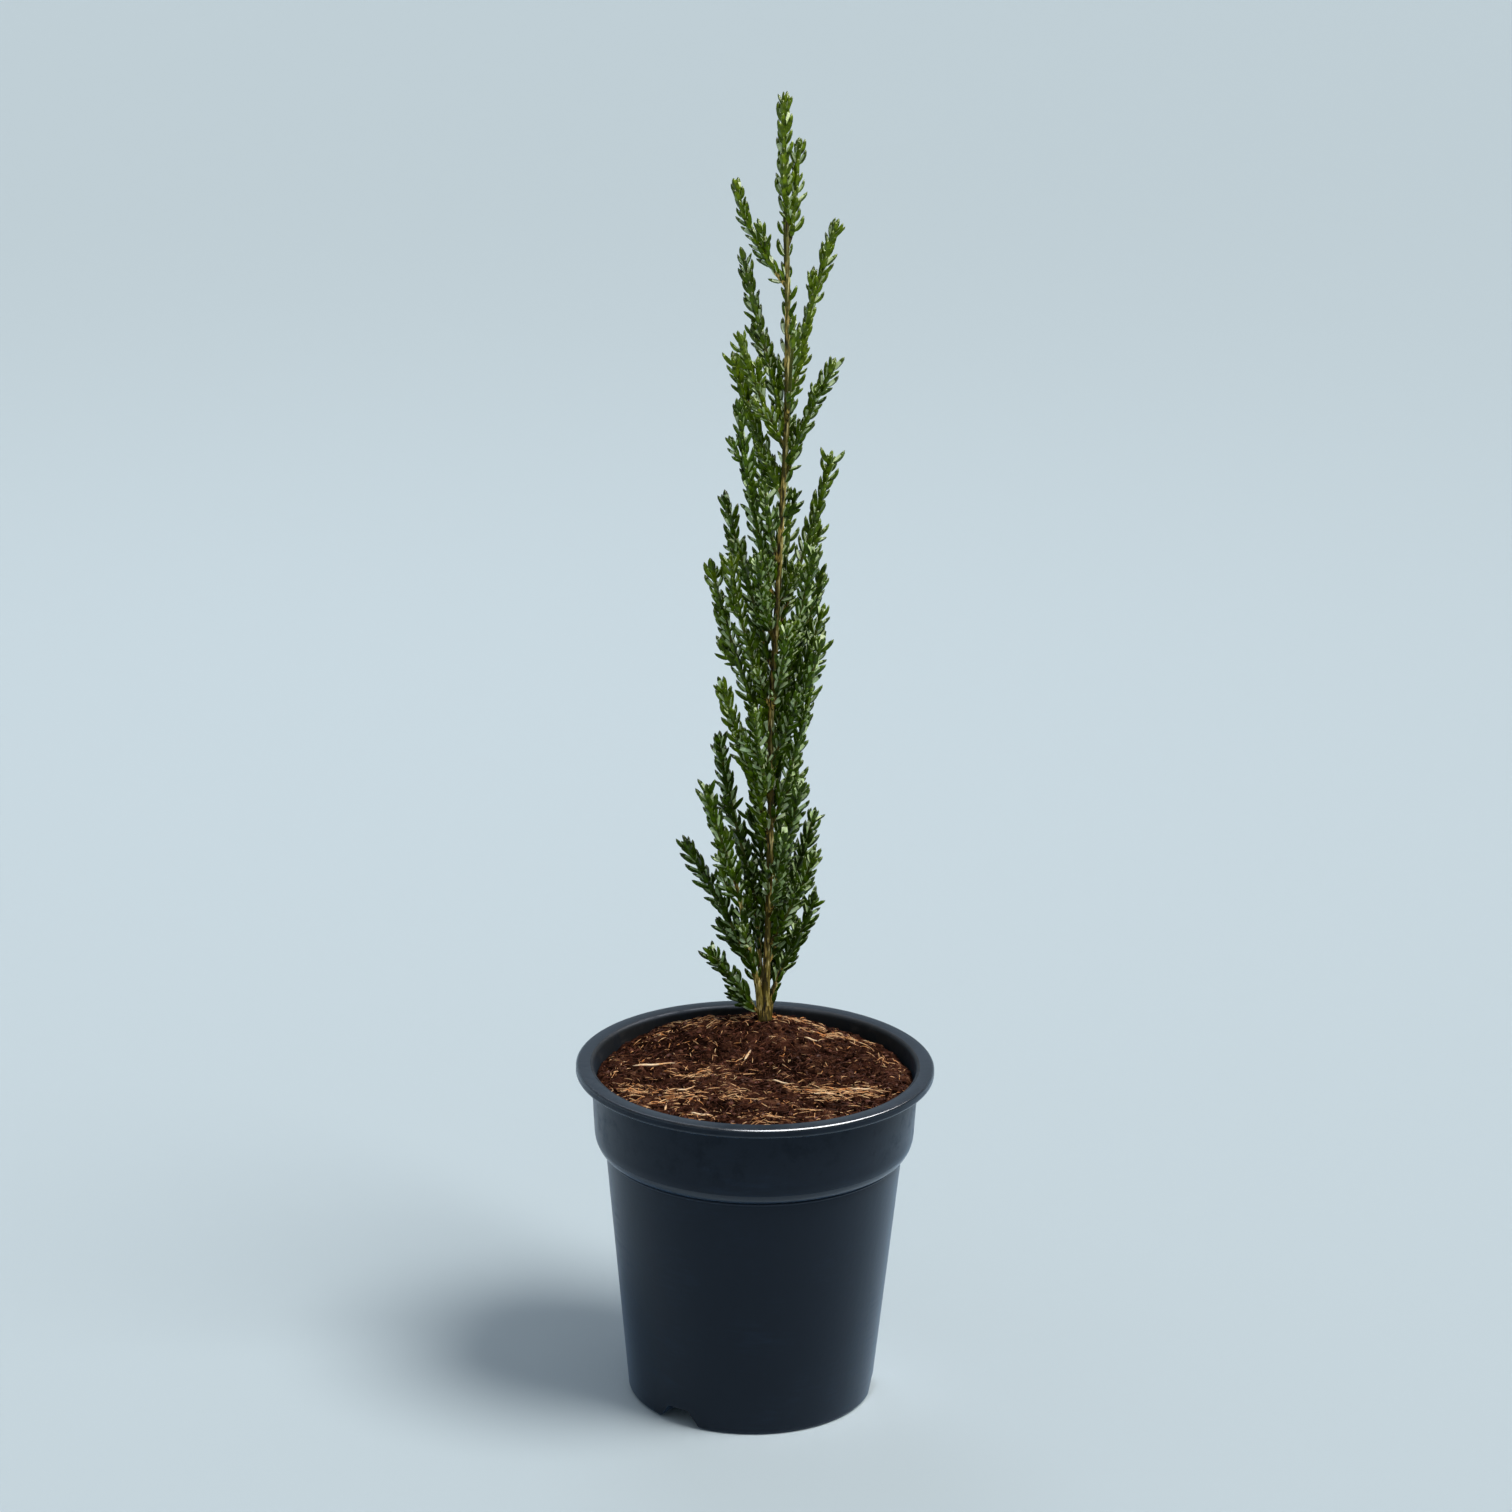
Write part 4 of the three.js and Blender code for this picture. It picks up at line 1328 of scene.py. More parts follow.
    def crumbs(self) -> bpy.types.Object:
        """Loose crumbs of peat and chips of husk.

        Returns:
            The piece.
        """
        random = np.random.default_rng(self.seed + 1)
        ball = bmesh.new()
        bmesh.ops.create_icosphere(ball, subdivisions=1, radius=1.0)
        form = np.array([vertex.co for vertex in ball.verts])
        faces = np.array([[vertex.index for vertex in face.verts] for face in ball.faces])
        ball.free()
        parts = []
        for _ in range(self.crumb_count):
            x, y = self.spot(random, 2.2)
            size = 0.35 + 1.1 * random.random() ** 3
            shape = form * (0.6 + 0.7 * random.random((len(form), 1)))
            shape = shape * size * np.array([1.0, 0.5 + 0.6 * random.random(), 0.55])
            turn = np.array(Matrix.Rotation(random.random() * 6.28, 3, "Z"))
            place = np.array([x, y, self.height_at(x, y) + 0.25 * size])
            slot = int(random.choice([ground.value for ground in self.crumb_mix]))
            parts.append(MeshData.plain(shape @ turn.T + place, [], faces, slot))
        names = ["moist_peat", "wet_peat", "dry_peat", "coir_tan", "coir_russet"]
        piece = MeshData.joined(parts).make("peat_crumbs", [bpy.data.materials[name] for name in names])
        crease(piece, self.crumb_crisp_degrees)
        return piece

    def build(self) -> list[bpy.types.Object]:
        """Build and dress the compost's surface, body, fibres, husk and crumbs."""
        return [self.surface(), self.body(), self.fibres(), self.husk_strips(), self.crumbs()]


# The limbs


@dataclass
class Limb:
    """One tapering limb with bark relief."""

    name: str
    axis: Axis
    radius_at: Callable[[np.ndarray], np.ndarray]
    sides: int
    ring_step: float = 0.8
    ridge_share: float = 0.09
    crack_share: float = 0.05
    scar_share: float = 0.05
    scar_step: float = 6.5
    scar_width: float = 0.5
    # Faces turned this way take pale golden bark: painted light on the limb's lit right-front side.
    painted_light_way: tuple[float, float, float] = (0.62, -0.785, 0.0)
    painted_light_from: float = 0.88
    painted_light_wander: float = 0.34

    def mesh(self) -> MeshData:
        """Limb with lengthwise ridges, fine cracks, rings of old leaf scars and a pale golden strip of
        painted light down its right-front side.

        Returns:
            Its mesh.
        """
        path = self.axis.evenly(self.ring_step)
        run = np.linspace(0, self.axis.length, len(path))
        radius = self.radius_at(run / self.axis.length)
        turn = np.arange(self.sides) * FULL_TURN / self.sides
        relief = np.empty((len(path), self.sides))
        for i, place in enumerate(run):
            for j, angle in enumerate(turn):
                ridge = Vector((math.cos(angle) * 2.2, math.sin(angle) * 2.2, place / 7))
                crack = Vector((math.cos(angle) * 5.0, math.sin(angle) * 5.0, place / 2.5))
                relief[i, j] = self.ridge_share * noise.noise(ridge) + self.crack_share * noise.noise(crack)
        scars = self.scar_share * np.exp(-((run % self.scar_step - 3.2) / self.scar_width) ** 2)
        skin = radius[:, None] * (1 + relief + scars[:, None])
        mesh = tubes(path[None], skin[None], self.sides)
        # Painted light: quads that face right and front, with a wandering edge, take the pale golden finish.
        middles = mesh.points[mesh.quads].mean(axis=1)
        core = np.repeat((path[1:] + path[:-1]) / 2, self.sides, axis=0)
        wander = np.array([noise.noise(Vector((3.1, 7.7, height / 9))) for height in core[:, 2]])
        facing = unit(middles - core) @ np.array(self.painted_light_way)
        mesh.quad_slots = (facing > self.painted_light_from + self.painted_light_wander * wander).astype(int)
        return mesh


@dataclass
class Framework:
    """Trunk and the boughs that leave it at the ground."""

    plant: Plant
    trunk_top: float = 326.0
    trunk_foot_radius: float = 1.55
    trunk_middle_radius: float = 1.2
    trunk_tip_radius: float = 1.12
    taper_height: float = 50.0
    flare_width: float = 1.3
    flare_height: float = 7.0
    back_sway: float = 0.4
    clearance: float = 0.3
    sunk: float = 1.6
    gather: float = 0.44
    gather_height: float = 30.0
    sway: tuple[float, ...] = (0, 0.5, 0.9, 0.4, 1.8, 3.2, 4.5, 4.2, 2.9)
    boughs: dict[str, tuple[list, tuple[float, float]]] = field(default_factory=lambda: {
        "bough_left": ([(4.5, -3.7, -0.9), (14, -4.7, -1.3), (27, -7, -2), (53, -11.3, -4)], (1.4, 0.8)),
        "bough_centre": ([(7.5, -2.4, 2.5), (20, -2.9, 3.1), (42, -3.8, 4)], (1.3, 0.8)),
        "bough_right": ([(4.5, 3.8, 0.4), (9, 4.6, 0.5), (15, 5.8, 0.8)], (1.3, 0.85)),
    })
    limbs: dict[str, Limb] = field(default_factory=dict)

    def trunk_radius(self, share: np.ndarray) -> np.ndarray:
        """Radius of the trunk.

        Args:
            share: Shares of its height.

        Returns:
            Radius at each.
        """
        height = share * self.trunk_top
        flare = self.flare_width * np.exp(-height / self.flare_height)
        butt = (self.trunk_foot_radius - self.trunk_middle_radius) * np.exp(-height / self.taper_height)
        return mix(self.trunk_middle_radius, self.trunk_tip_radius, share) + butt + flare

    def trunk(self) -> Limb:
        """Trunk from the compost to the foot of the leader.

        Returns:
            The limb.
        """
        last = len(self.sway) - 1
        knots = [self.plant.point(
            mix(self.clearance, self.trunk_top, i / last), right,
            self.back_sway * math.sin(i * 1.7) * min(1, i)) for i, right in enumerate(self.sway)]
        line = through(np.array(knots))
        line = np.concatenate([[line[0] - UP * self.sunk], line])
        return Limb("trunk", Axis(line), self.trunk_radius, sides=18)

    def bough(self, name: str) -> Limb:
        """One bough, from the foot of the trunk to its tip.

        Args:
            name: Name of the bough.

        Returns:
            The limb.
        """
        rows, (foot, tip) = self.boughs[name]
        knots = [self.plant.point(-self.sunk, rows[0][1] * 0.3, rows[0][2] * 0.3)]
        for height, right, back in rows:
            spread = mix(self.gather, 1.0, min(1.0, height / self.gather_height))
            knots.append(self.plant.point(height, right * spread, back * spread))
        line = through(np.array(knots))
        return Limb(name, Axis(line), lambda share: mix(foot * 1.25, tip, share ** 0.7), sides=12)

    def build(self) -> list[bpy.types.Object]:
        """Build and dress the trunk and the boughs.

        Returns:
            One piece for each.
        """
        brown = YoungBark("young_bark", "#1b1604", "#55480f", "#d6b35f").material()
        mottled = YoungBark("mottled_bark", "#211906", "#72601f", "#fadf92", 0.36).material()
        # Golden bark, brightened past its own colour as painted light, so the centre bough glows in the
        # trunk's shadow.
        golden = YoungBark("golden_bark", "#3a2b0c", "#b3943a", "#fff0ae", 0.28).material()
        # Pale golden bark for the lit right-front side of every limb: painted light.
        lit_side_bark = YoungBark("peeled_bark", "#5a4d1e", "#91823c", "#f0dc98", 0.42, green="#76753a").material()
        pieces = []
        for limb in [self.trunk(), *[self.bough(name) for name in self.boughs]]:
            self.limbs[limb.name] = limb
            bark = {"bough_centre": golden, "bough_left": mottled}.get(limb.name, brown)
            piece = limb.mesh().make(limb.name + "_bark", [bark, lit_side_bark])
            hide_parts(limb.name)
            pieces.append(piece)
        return pieces


# The crown


@dataclass(frozen=True)
class Spray:
    """One mass of foliage: where its stem joins, and where its tip stands.

    On the trunk start is a height above the ground, on a bough it is the share of its length.
    """

    name: str
    on: str
    start: float
    top: float
    right: float
    back: float
    bow: float


SEEN_SPRAYS = {
    "left": [
        ("bough_left", 0.07, 32, -25, -6, -1.5), ("bough_left", 0.48, 74, -35.5, 4, -2),
        ("bough_left", 1, 100, -26.5, -8, 0), ("bough_centre", 1, 117, -22, 6, 0),
        ("trunk", 79, 143, -21, -10, -2), ("trunk", 115, 187, -26, 3, 0), ("trunk", 132, 193, -18, -6, 1),
        ("trunk", 147, 212, -20, 9, -1), ("trunk", 173, 255, -15, -12, 1), ("trunk", 217, 269, -18, 4, 0),
        ("trunk", 236, 281, -16, -9, 0), ("trunk", 243, 309, -14.5, 8, -1), ("trunk", 298, 337, -18, -5, 1),
    ],
    "right": [
        ("bough_right", 1, 52, 21, 3, 0), ("trunk", 33, 74, 20, -10, 0), ("trunk", 25, 86, 20, 7, -1),
        ("trunk", 62, 104, 14, -15, 0), ("trunk", 70, 107, 13, 13, 0), ("trunk", 84, 142, 17.5, -6, 0),
        ("trunk", 110, 162, 21.5, -15, 0), ("trunk", 119, 171, 21.5, -2, 0), ("trunk", 126, 183, 21, 12, 0),
        ("trunk", 138, 198, 17, -12, 1), ("trunk", 164, 231, 24, 5, 0), ("trunk", 225, 270, 24, -7, -2),
        ("trunk", 254, 322, 24, 5, -2), ("trunk", 313, 353, 8, 3, 0),
    ],
}
TOP_FRONT_SPRAY = ("spray_front_06", "trunk", 189, 225, -4, -13, 1)
FILLING_SPRAYS = {
    "front": (-19, [(45, 84), (93, 134), (131, 168), (158, 196), (246, 284)]),
    "back": (19, [(16, 62), (52, 102), (88, 140), (122, 172), (156, 206), (190, 238), (232, 282)]),
}


def spray_rows() -> list[Spray]:
    """All masses, those of the left and right first and then the front and the back.

    Returns:
        The sprays by the rule of the solids.
    """
    sprays = [Spray(f"spray_{side}_{i:02d}", *row)
              for side, rows in SEEN_SPRAYS.items() for i, row in enumerate(rows, 1)]
    sprays.append(Spray(*TOP_FRONT_SPRAY))
    for side, (reach, heights) in FILLING_SPRAYS.items():
        for i, (start, top) in enumerate(heights):
            right, back = 7 if i % 2 == 0 else -7, reach * (1 - 0.12 * (i % 3))
            sprays.append(Spray(f"spray_{side}_{i + 1:02d}", "trunk", start, top, right, back, 0.5))
    return sprays


@dataclass
class LeafShape:
    """One awl-shaped leaf: four-sided, with a deep keel on its back and a low rib on its face.

    It is broadest in its middle and runs out to a short point. The lower part of its face is pale:
    glaucous bloom, painted paler as a highlight, with a dark tip beyond.
    """

    stations: tuple[float, ...] = (0.04, 0.22, 0.45, 0.68, 0.87)
    widths: tuple[float, ...] = (0.54, 0.92, 1.0, 0.88, 0.58)
    keel: float = 1.1
    rib: float = -0.5
    bloom_and_painted_highlight_rows: int = 3

    def points(self) -> np.ndarray:
        """Corners of the leaf, for across, along and out.

        Returns:
            Shares of half width, length and half width.
        """
        rows = []
        for place, width in zip(self.stations, self.widths):
            rows += [(-width, place, 0), (0, place, self.keel * width), (width, place, 0),
                     (0, place, self.rib * width)]
        return np.array([*rows, (0, 0, 0), (0, 1, 0)])

    def faces(self) -> tuple[np.ndarray, np.ndarray, np.ndarray, np.ndarray]:
        """Faces of the leaf.

        Returns:
            Quads, triangles, and for each whether it has the pale bloom with its painted highlight.
        """
        quads, triangles, quad_inner, triangle_inner = [], [], [], []
        last = len(self.stations) - 1
        foot, tip = 4 * len(self.stations), 4 * len(self.stations) + 1
        for side in range(4):
            after = (side + 1) % 4
            for i in range(last):
                quads.append((4 * i + side, 4 * i + after, 4 * i + 4 + after, 4 * i + 4 + side))
                # Pale bloom and painted highlight on the face's lower rows, dark on its tip.
                quad_inner.append(side >= 2 and i < self.bloom_and_painted_highlight_rows)
            triangles += [(foot, after, side), (tip, 4 * last + side, 4 * last + after)]
            triangle_inner += [side >= 2, False]
        return np.array(quads), np.array(triangles), np.array(quad_inner), np.array(triangle_inner)


@dataclass
class LeafBank:
    """Leaves gathered for one piece, one row of numbers for each."""

    shape: LeafShape = field(default_factory=LeafShape)
    twist: float = 0.22
    half_width: tuple[float, float] = (0.155, 0.19)
    bend: tuple[float, float] = (-0.08, 0.08)
    batches: list[tuple[np.ndarray, ...]] = field(default_factory=list)

    def add(self, roots: np.ndarray, ways: np.ndarray, outs: np.ndarray, lengths: np.ndarray,
            tones: np.ndarray) -> None:
        """Add leaves by their feet, directions, the ways that their backs face, lengths and greens."""
        self.batches.append((roots, ways, outs, lengths, tones))

    def mesh(self, random: np.random.Generator) -> MeshData:
        """All leaves as one mesh.

        Args:
            random: Source of numbers for width, bend and twist.

        Returns:
            The mesh, with two finish numbers for each green.
        """
        roots, ways, outs, lengths, tones = (np.concatenate(rows) for rows in zip(*self.batches))
        count = len(roots)
        across = unit(np.cross(ways, outs))
        twist = random.normal(0, self.twist, (count, 1))
        across = unit(across * np.cos(twist) + np.cross(ways, across) * np.sin(twist))
        outs = np.cross(across, ways)
        half = (lengths * random.uniform(*self.half_width, count))[:, None, None]
        bend = (lengths * random.uniform(*self.bend, count))[:, None, None]
        form = self.shape.points()[None]
        bulge = bend * np.sin(math.pi * form[:, :, 1:2]) - 0.1 * half
        points = (roots[:, None] + across[:, None] * form[:, :, 0:1] * half
                  + ways[:, None] * form[:, :, 1:2] * lengths[:, None, None]
                  + outs[:, None] * (form[:, :, 2:3] * half + bulge))
        quads, triangles, quad_inner, triangle_inner = self.shape.faces()
        shift = (np.arange(count) * form.shape[1])[:, None, None]
        mesh = MeshData.plain(points, quads[None] + shift, triangles[None] + shift).facing_out()
        column = np.arange(form.shape[1]) % 4
        column[-2:] = -1
        mesh.ribs = np.where(column < 0, -1, np.arange(count)[:, None] * 4 + column).ravel()
        mesh.quad_slots = (2 * tones[:, None] + quad_inner[None]).ravel()
        mesh.triangle_slots = (2 * tones[:, None] + triangle_inner[None]).ravel()
        return mesh


@dataclass
class Crown:
    """Every stem, side twig and leaf, grown on from the limbs."""

    plant: Plant
    framework: Framework
    stem_radius: float = 0.8
    stem_tip_radius: float = 0.5
    twig_radius: float = 0.5
    twig_tip_radius: float = 0.34
    tip_reach: float = 4.0
    upturn: float = 0.3
    heel: float = 3.0
    ring_step: float = 1.8
    green_from: float = 0.2
    low_twig_spacing: float = 11.0
    high_twig_spacing: float = 27.0
    twig_zone: tuple[float, float] = (0.2, 0.74)
    twig_reach: tuple[float, float] = (7.0, 12.0)
    twig_angle: tuple[float, float] = (0.42, 0.56)
    shoot_spacing: float = 11.0
    shoot_reach: tuple[float, float] = (9.0, 14.0)
    shoot_lean: tuple[float, float] = (0.34, 0.5)
    shoot_tones: tuple[Tone, ...] = (Tone.DEEP, Tone.MIDDLE, Tone.MIDDLE, Tone.OLIVE)
    leaf_length: float = 7.3
    leaf_sizes: tuple[float, float] = (0.76, 1.16)
    leaf_pitch: float = 1.82
    leaf_wander: float = 0.12
    low_leaf_angle: float = 0.6
    high_leaf_angle: float = 0.42
    limb_leaf_angle: float = 0.36
    tuft: tuple[float, ...] = (1.7, 0.9, 0.15)
    tuft_angles: tuple[float, ...] = (0.42, 0.28, 0.1)
    tuft_sizes: tuple[float, float] = (0.55, 0.75)
    fresh_from: float = 0.86
    fresh_chance: float = 0.6
    tone_wander: float = 0.16
    tone_tops: tuple[float, ...] = (0.3, 0.62, 0.9)
    leader_top: float = 370.0
    leader_right: float = 1.8
    leader_bow: float = 0.5
    bare_front_from: float = 60.0
    bare_foot: float = 34.0
    spread: float = 0.925
    gappy: float = 0.07
    window_half: float = 1.9
    window_top: float = 300.0
    window_clear: float = 0.8
    foot_half: float = 4.2
    foot_top: float = 15.0
    thin_fill_from: float = 200.0
    upper_length: float = 36.0
    front_leaves_from: float = 9.0
    side_leaves_from: float = 4.0
    bough_leaves_from: dict[str, float] = field(default_factory=lambda: {
        "bough_left": 18.0, "bough_centre": 27.0, "bough_right": 7.0})
    shoots_between: dict[str, tuple[float, float]] = field(default_factory=lambda: {
        "trunk": (30.0, 252.0), "bough_left": (32.0, math.inf), "bough_centre": (31.0, math.inf),
        "bough_right": (7.0, math.inf)})
    seed: int = 1200

    def stem(self, spray: Spray) -> Axis:
        """Line of a spray's stem, from inside its limb to its tip.

        Args:
            spray: The mass.

        Returns:
            The stem's axis.
        """
        limb = self.framework.limbs[spray.on]
        share = spray.start / self.framework.trunk_top if spray.on == "trunk" else spray.start
        run = min(share, 1.0) * limb.axis.length
        place, along = limb.axis.at(run), limb.axis.way(run)
        tip = self.plant.point(spray.top, spray.right * self.spread, spray.back)
        outward = unit((tip - place) * np.array([1, 1, 0]))
        leave = outward if share < 1 else along
        start = place + leave * (float(limb.radius_at(np.array(share))) + 0.7)
        length = float(np.linalg.norm(tip - start))
        upturn = unit((tip - start) * (1 - self.upturn) / length + UP * self.upturn)
        tip = tip - upturn * self.tip_reach
        chord = tip - start
        bulge = unit(outward - chord * (outward @ chord) / (chord @ chord)) * spray.bow * 4 / 3
        line = bezier(start, start + chord / 3 + bulge, tip - upturn * length / 3 + bulge, tip)
        return self.with_heel(limb.axis, run, Axis(line))

    def with_heel(self, carrier: Axis, run: float, stem: Axis) -> Axis:
        """Stem that swings out of its carrier instead of starting beside it.

        Args:
            carrier: Line that the stem grows from.
            run: Length run along the carrier at the joint.
            stem: Line of the stem beyond the joint.

        Returns:
            The stem's line with its heel in the carrier.
        """
        low = max(run - self.heel, 0.0)
        inside, along = carrier.at(low), carrier.way(low)
        reach = min(self.heel, stem.length / 4)
        out, way = stem.at(reach), stem.way(reach)
        heel = bezier(inside, inside + along * self.heel * 0.6, out - way * reach * 0.6, out, 12)
        rest = stem.at(np.linspace(reach, stem.length, 50))
        return Axis(np.concatenate([heel[:-1], rest]))

    def leader(self) -> Axis:
        """Line of the leader above the trunk.

        Returns:
            Its line.
        """
        trunk = self.framework.limbs["trunk"].axis
        foot = trunk.at(trunk.length - 0.5)
        top = self.plant.point(self.leader_top - self.tip_reach, self.leader_right, 0)
        middle = (foot + top) / 2 - np.array([self.leader_bow, 0, 0])
        return Axis(bezier(foot, mix(foot, middle, 2 / 3), mix(top, middle, 2 / 3), top))

    def side_twigs(self, stem: Axis, random: np.random.Generator, spacing: float) -> list[Axis]:
        """Short side twigs that leave a stem by turns.

        Args:
            stem: Line of the stem.
            random: Source of numbers.
            spacing: Mean distance between two twigs along the stem.

        Returns:
            The lines of the twigs.
        """
        twigs = []
        turn = random.random() * FULL_TURN
        first, last = (share * stem.length for share in self.twig_zone)
        for run in np.arange(first, last, spacing):
            run += random.uniform(-0.3, 0.3) * spacing
            share = run / stem.length
            root, along = stem.at(run), stem.way(run)
            outward = square_to(along, turn)
            angle = random.uniform(*self.twig_angle)
            reach = min(random.uniform(*self.twig_reach) * mix(1.15, 0.7, share), 0.72 * (stem.length - run))
            way = along * math.cos(angle) + outward * math.sin(angle)
            tip = root + way * reach * 0.8 + along * reach * 0.24
            before = tip - along * reach * 0.3 - way * reach * 0.05
            twigs.append(Axis(bezier(root, root + way * reach * 0.35, before, tip, 16)))
            turn += GOLDEN_TURN
        return twigs

    def leaf_row(self, bank: LeafBank, axis: Axis, random: np.random.Generator, start: float, pitch: float,
                 size: float, tone: Tone, girth: float, on_limb: bool = False, front: float = 0.0) -> None:
        """Pairs of leaves along a line, each pair a quarter turn from the last, and a tuft at its tip.

        A limb has no tuft, its leaves lie closer to it, and its sunny front is bare.

        Args:
            bank: Store that takes the leaves.
            axis: Line that carries them.
            random: Source of numbers.
            start: Length run at the first pair.
            pitch: Distance between two pairs.
            size: Share of the full leaf length.
            tone: Green of the spray.
            girth: Radius of the line's wood.
            on_limb: Whether the line is a limb.
            front: Share of its leaves that a limb keeps on its front.
        """
        tuft = axis.length - np.array(self.tuft)
        pairs = np.concatenate([np.arange(start, axis.length - 0.3, pitch), tuft])
        runs = np.repeat(pairs, 2)
        count, tufted = len(runs), 2 * len(self.tuft)
        share = runs / axis.length
        at_tip = np.arange(count) >= count - tufted
        turn = random.normal(0, 0.2) + np.repeat(np.arange(len(pairs)), 2) * math.pi / 2
        turn = turn + np.tile([0, math.pi], len(pairs)) + random.normal(0, self.leaf_wander, count)
        along = axis.way(runs)
        outs = square_to(along, turn)
        lift = np.clip((axis.at(runs)[:, 2] - self.plant.ground) / self.leader_top, 0, 1)
        open_angle = mix(self.low_leaf_angle, self.high_leaf_angle, lift) - 0.08 * share
        angle = (self.limb_leaf_angle if on_limb else open_angle) + random.normal(0, self.leaf_wander, count)
        angle[-tufted:] = np.repeat(self.tuft_angles, 2) + random.normal(0, 0.06, tufted)
        ways = along * np.cos(angle)[:, None] + outs * np.sin(angle)[:, None]
        lengths = self.leaf_length * size * mix(1.0, 0.96, share) * random.uniform(*self.leaf_sizes, count)
        lengths = np.where(at_tip, lengths * random.uniform(*self.tuft_sizes, count), lengths)
        young = (share > self.fresh_from) & (random.random(count) < self.fresh_chance)
        tones = np.where(young, min(tone.value + 1, Tone.FRESH.value), tone.value)
        roots = axis.at(runs) + outs * girth * 0.5
        backs = unit(outs - ways * np.sum(outs * ways, axis=1, keepdims=True))
        chance = random.random(count)
        seen = (outs[:, 1] > -0.5) | (chance < front)
        keep = seen & ~at_tip if on_limb else at_tip | (chance > self.gappy)
        keep &= ~self.in_window(roots + ways * lengths[:, None] / 2, random)
        bank.add(roots[keep], ways[keep], backs[keep], lengths[keep], tones[keep])

    def in_window(self, places: np.ndarray, random: np.random.Generator) -> np.ndarray:
        """Which leaves would close off the stem's lit front or its bare foot.

        Args:
            places: Middles of the leaves.
            random: Source of numbers, which lets a few leaves stay.

        Returns:
            True for each leaf that is left out.
        """
        trunk = self.framework.limbs["trunk"].axis.points
        side = np.interp(places[:, 2], trunk[:, 2], trunk[:, 0])
        depth = np.interp(places[:, 2], trunk[:, 2], trunk[:, 1])
        height = places[:, 2] - self.plant.ground
        before = places[:, 1] < depth - 0.4
        lane = before & (np.abs(places[:, 0] - side) < self.window_half) & (height < self.window_top)
        foot = (places[:, 1] < depth + 1.5) & (np.abs(places[:, 0] - side + 1) < self.foot_half)
        return (lane & (random.random(len(places)) < self.window_clear)) | (foot & (height < self.foot_top))

    def tone_of(self, spray: Spray, random: np.random.Generator) -> Tone:
        """Green of a spray: deeper low down, as older growth and as painted shade, fresher towards the top.
        """
        # Painted shade in part: lower sprays take darker greens by their height.
        lift = spray.top / self.leader_top + random.normal(0, self.tone_wander)
        return Tone(sum(lift >= top for top in self.tone_tops))

    def grow(self, spray: Spray, index: int, bank: LeafBank, wood: list[MeshData]) -> None:
        """Grow one spray.

        Args:
            spray: The mass.
            index: Its place in the list.
            bank: Store that takes the leaves.
            wood: List that takes the stems and twigs.
        """
        random = np.random.default_rng(self.seed + index * 37)
        stem = self.stem(spray)
        tone = self.tone_of(spray, random)
        size = mix(1.06, 0.9, spray.top / self.leader_top)
        thin = spray.top > self.thin_fill_from and ("front" in spray.name or "back" in spray.name)
        self.add_wood(wood, stem, self.stem_radius, self.stem_tip_radius, 8)
        first = self.front_leaves_from if "front" in spray.name else self.side_leaves_from
        pitch = self.leaf_pitch * (1.35 if thin else 1.0)
        self.leaf_row(bank, stem, random, first, pitch, size, tone, self.stem_radius)
        spacing = mix(self.low_twig_spacing, self.high_twig_spacing, (spray.top / self.leader_top) ** 1.5)
        for twig in [] if thin else self.side_twigs(stem, random, spacing):
            self.add_wood(wood, twig, self.twig_radius, self.twig_tip_radius, 6)
            self.leaf_row(bank, twig, random, 1.8, self.leaf_pitch * 0.95, size * 0.86, tone,
                          self.twig_radius)

    def add_wood(self, wood: list[MeshData], axis: Axis, foot: float, tip: float, sides: int) -> None:
        """Add the round wood of a stem or twig, brown at its foot and green towards its tip.

        Args:
            wood: List that takes the mesh.
            axis: Line of the stem.
            foot: Radius at its foot.
            tip: Radius at its tip.
            sides: Number of sides.
        """
        path = axis.evenly(self.ring_step)
        share = np.linspace(0, 1, len(path))
        green = (share[:-1] > self.green_from).astype(int)
        wood.append(tubes(path[None], mix(foot, tip, share)[None], sides, ring_slots=green))

    def grow_shoots(self, limb: Limb, low: float, high: float, bank: LeafBank, wood: list[MeshData],
                    random: np.random.Generator) -> None:
        """Grow short leafy shoots straight from a limb.

        Args:
            limb: Trunk or bough.
            low: Length run at the first shoot.
            high: Length run that no shoot goes beyond.
            bank: Store that takes the leaves.
            wood: List that takes the shoots.
            random: Source of numbers.
        """
        turn = random.random() * FULL_TURN
        for run in np.arange(low, min(high, limb.axis.length), self.shoot_spacing):
            turn += GOLDEN_TURN
            root, along = limb.axis.at(run), limb.axis.way(run)
            outward = square_to(along, turn)
            if outward[1] < -0.55 and run > self.bare_front_from:
                continue
            reach = random.uniform(*self.shoot_reach)
            tip = root + along * reach * 0.86 + outward * reach * random.uniform(*self.shoot_lean)
            line = bezier(root, root + (along + outward) * reach * 0.2, tip - along * reach * 0.35, tip, 16)
            shoot = Axis(line)
            tone = Tone(int(random.choice([tone.value for tone in self.shoot_tones])))
            self.add_wood(wood, shoot, self.twig_radius, self.twig_tip_radius, 6)
            self.leaf_row(bank, shoot, random, 2.0, self.leaf_pitch, 0.9, tone, self.twig_radius)

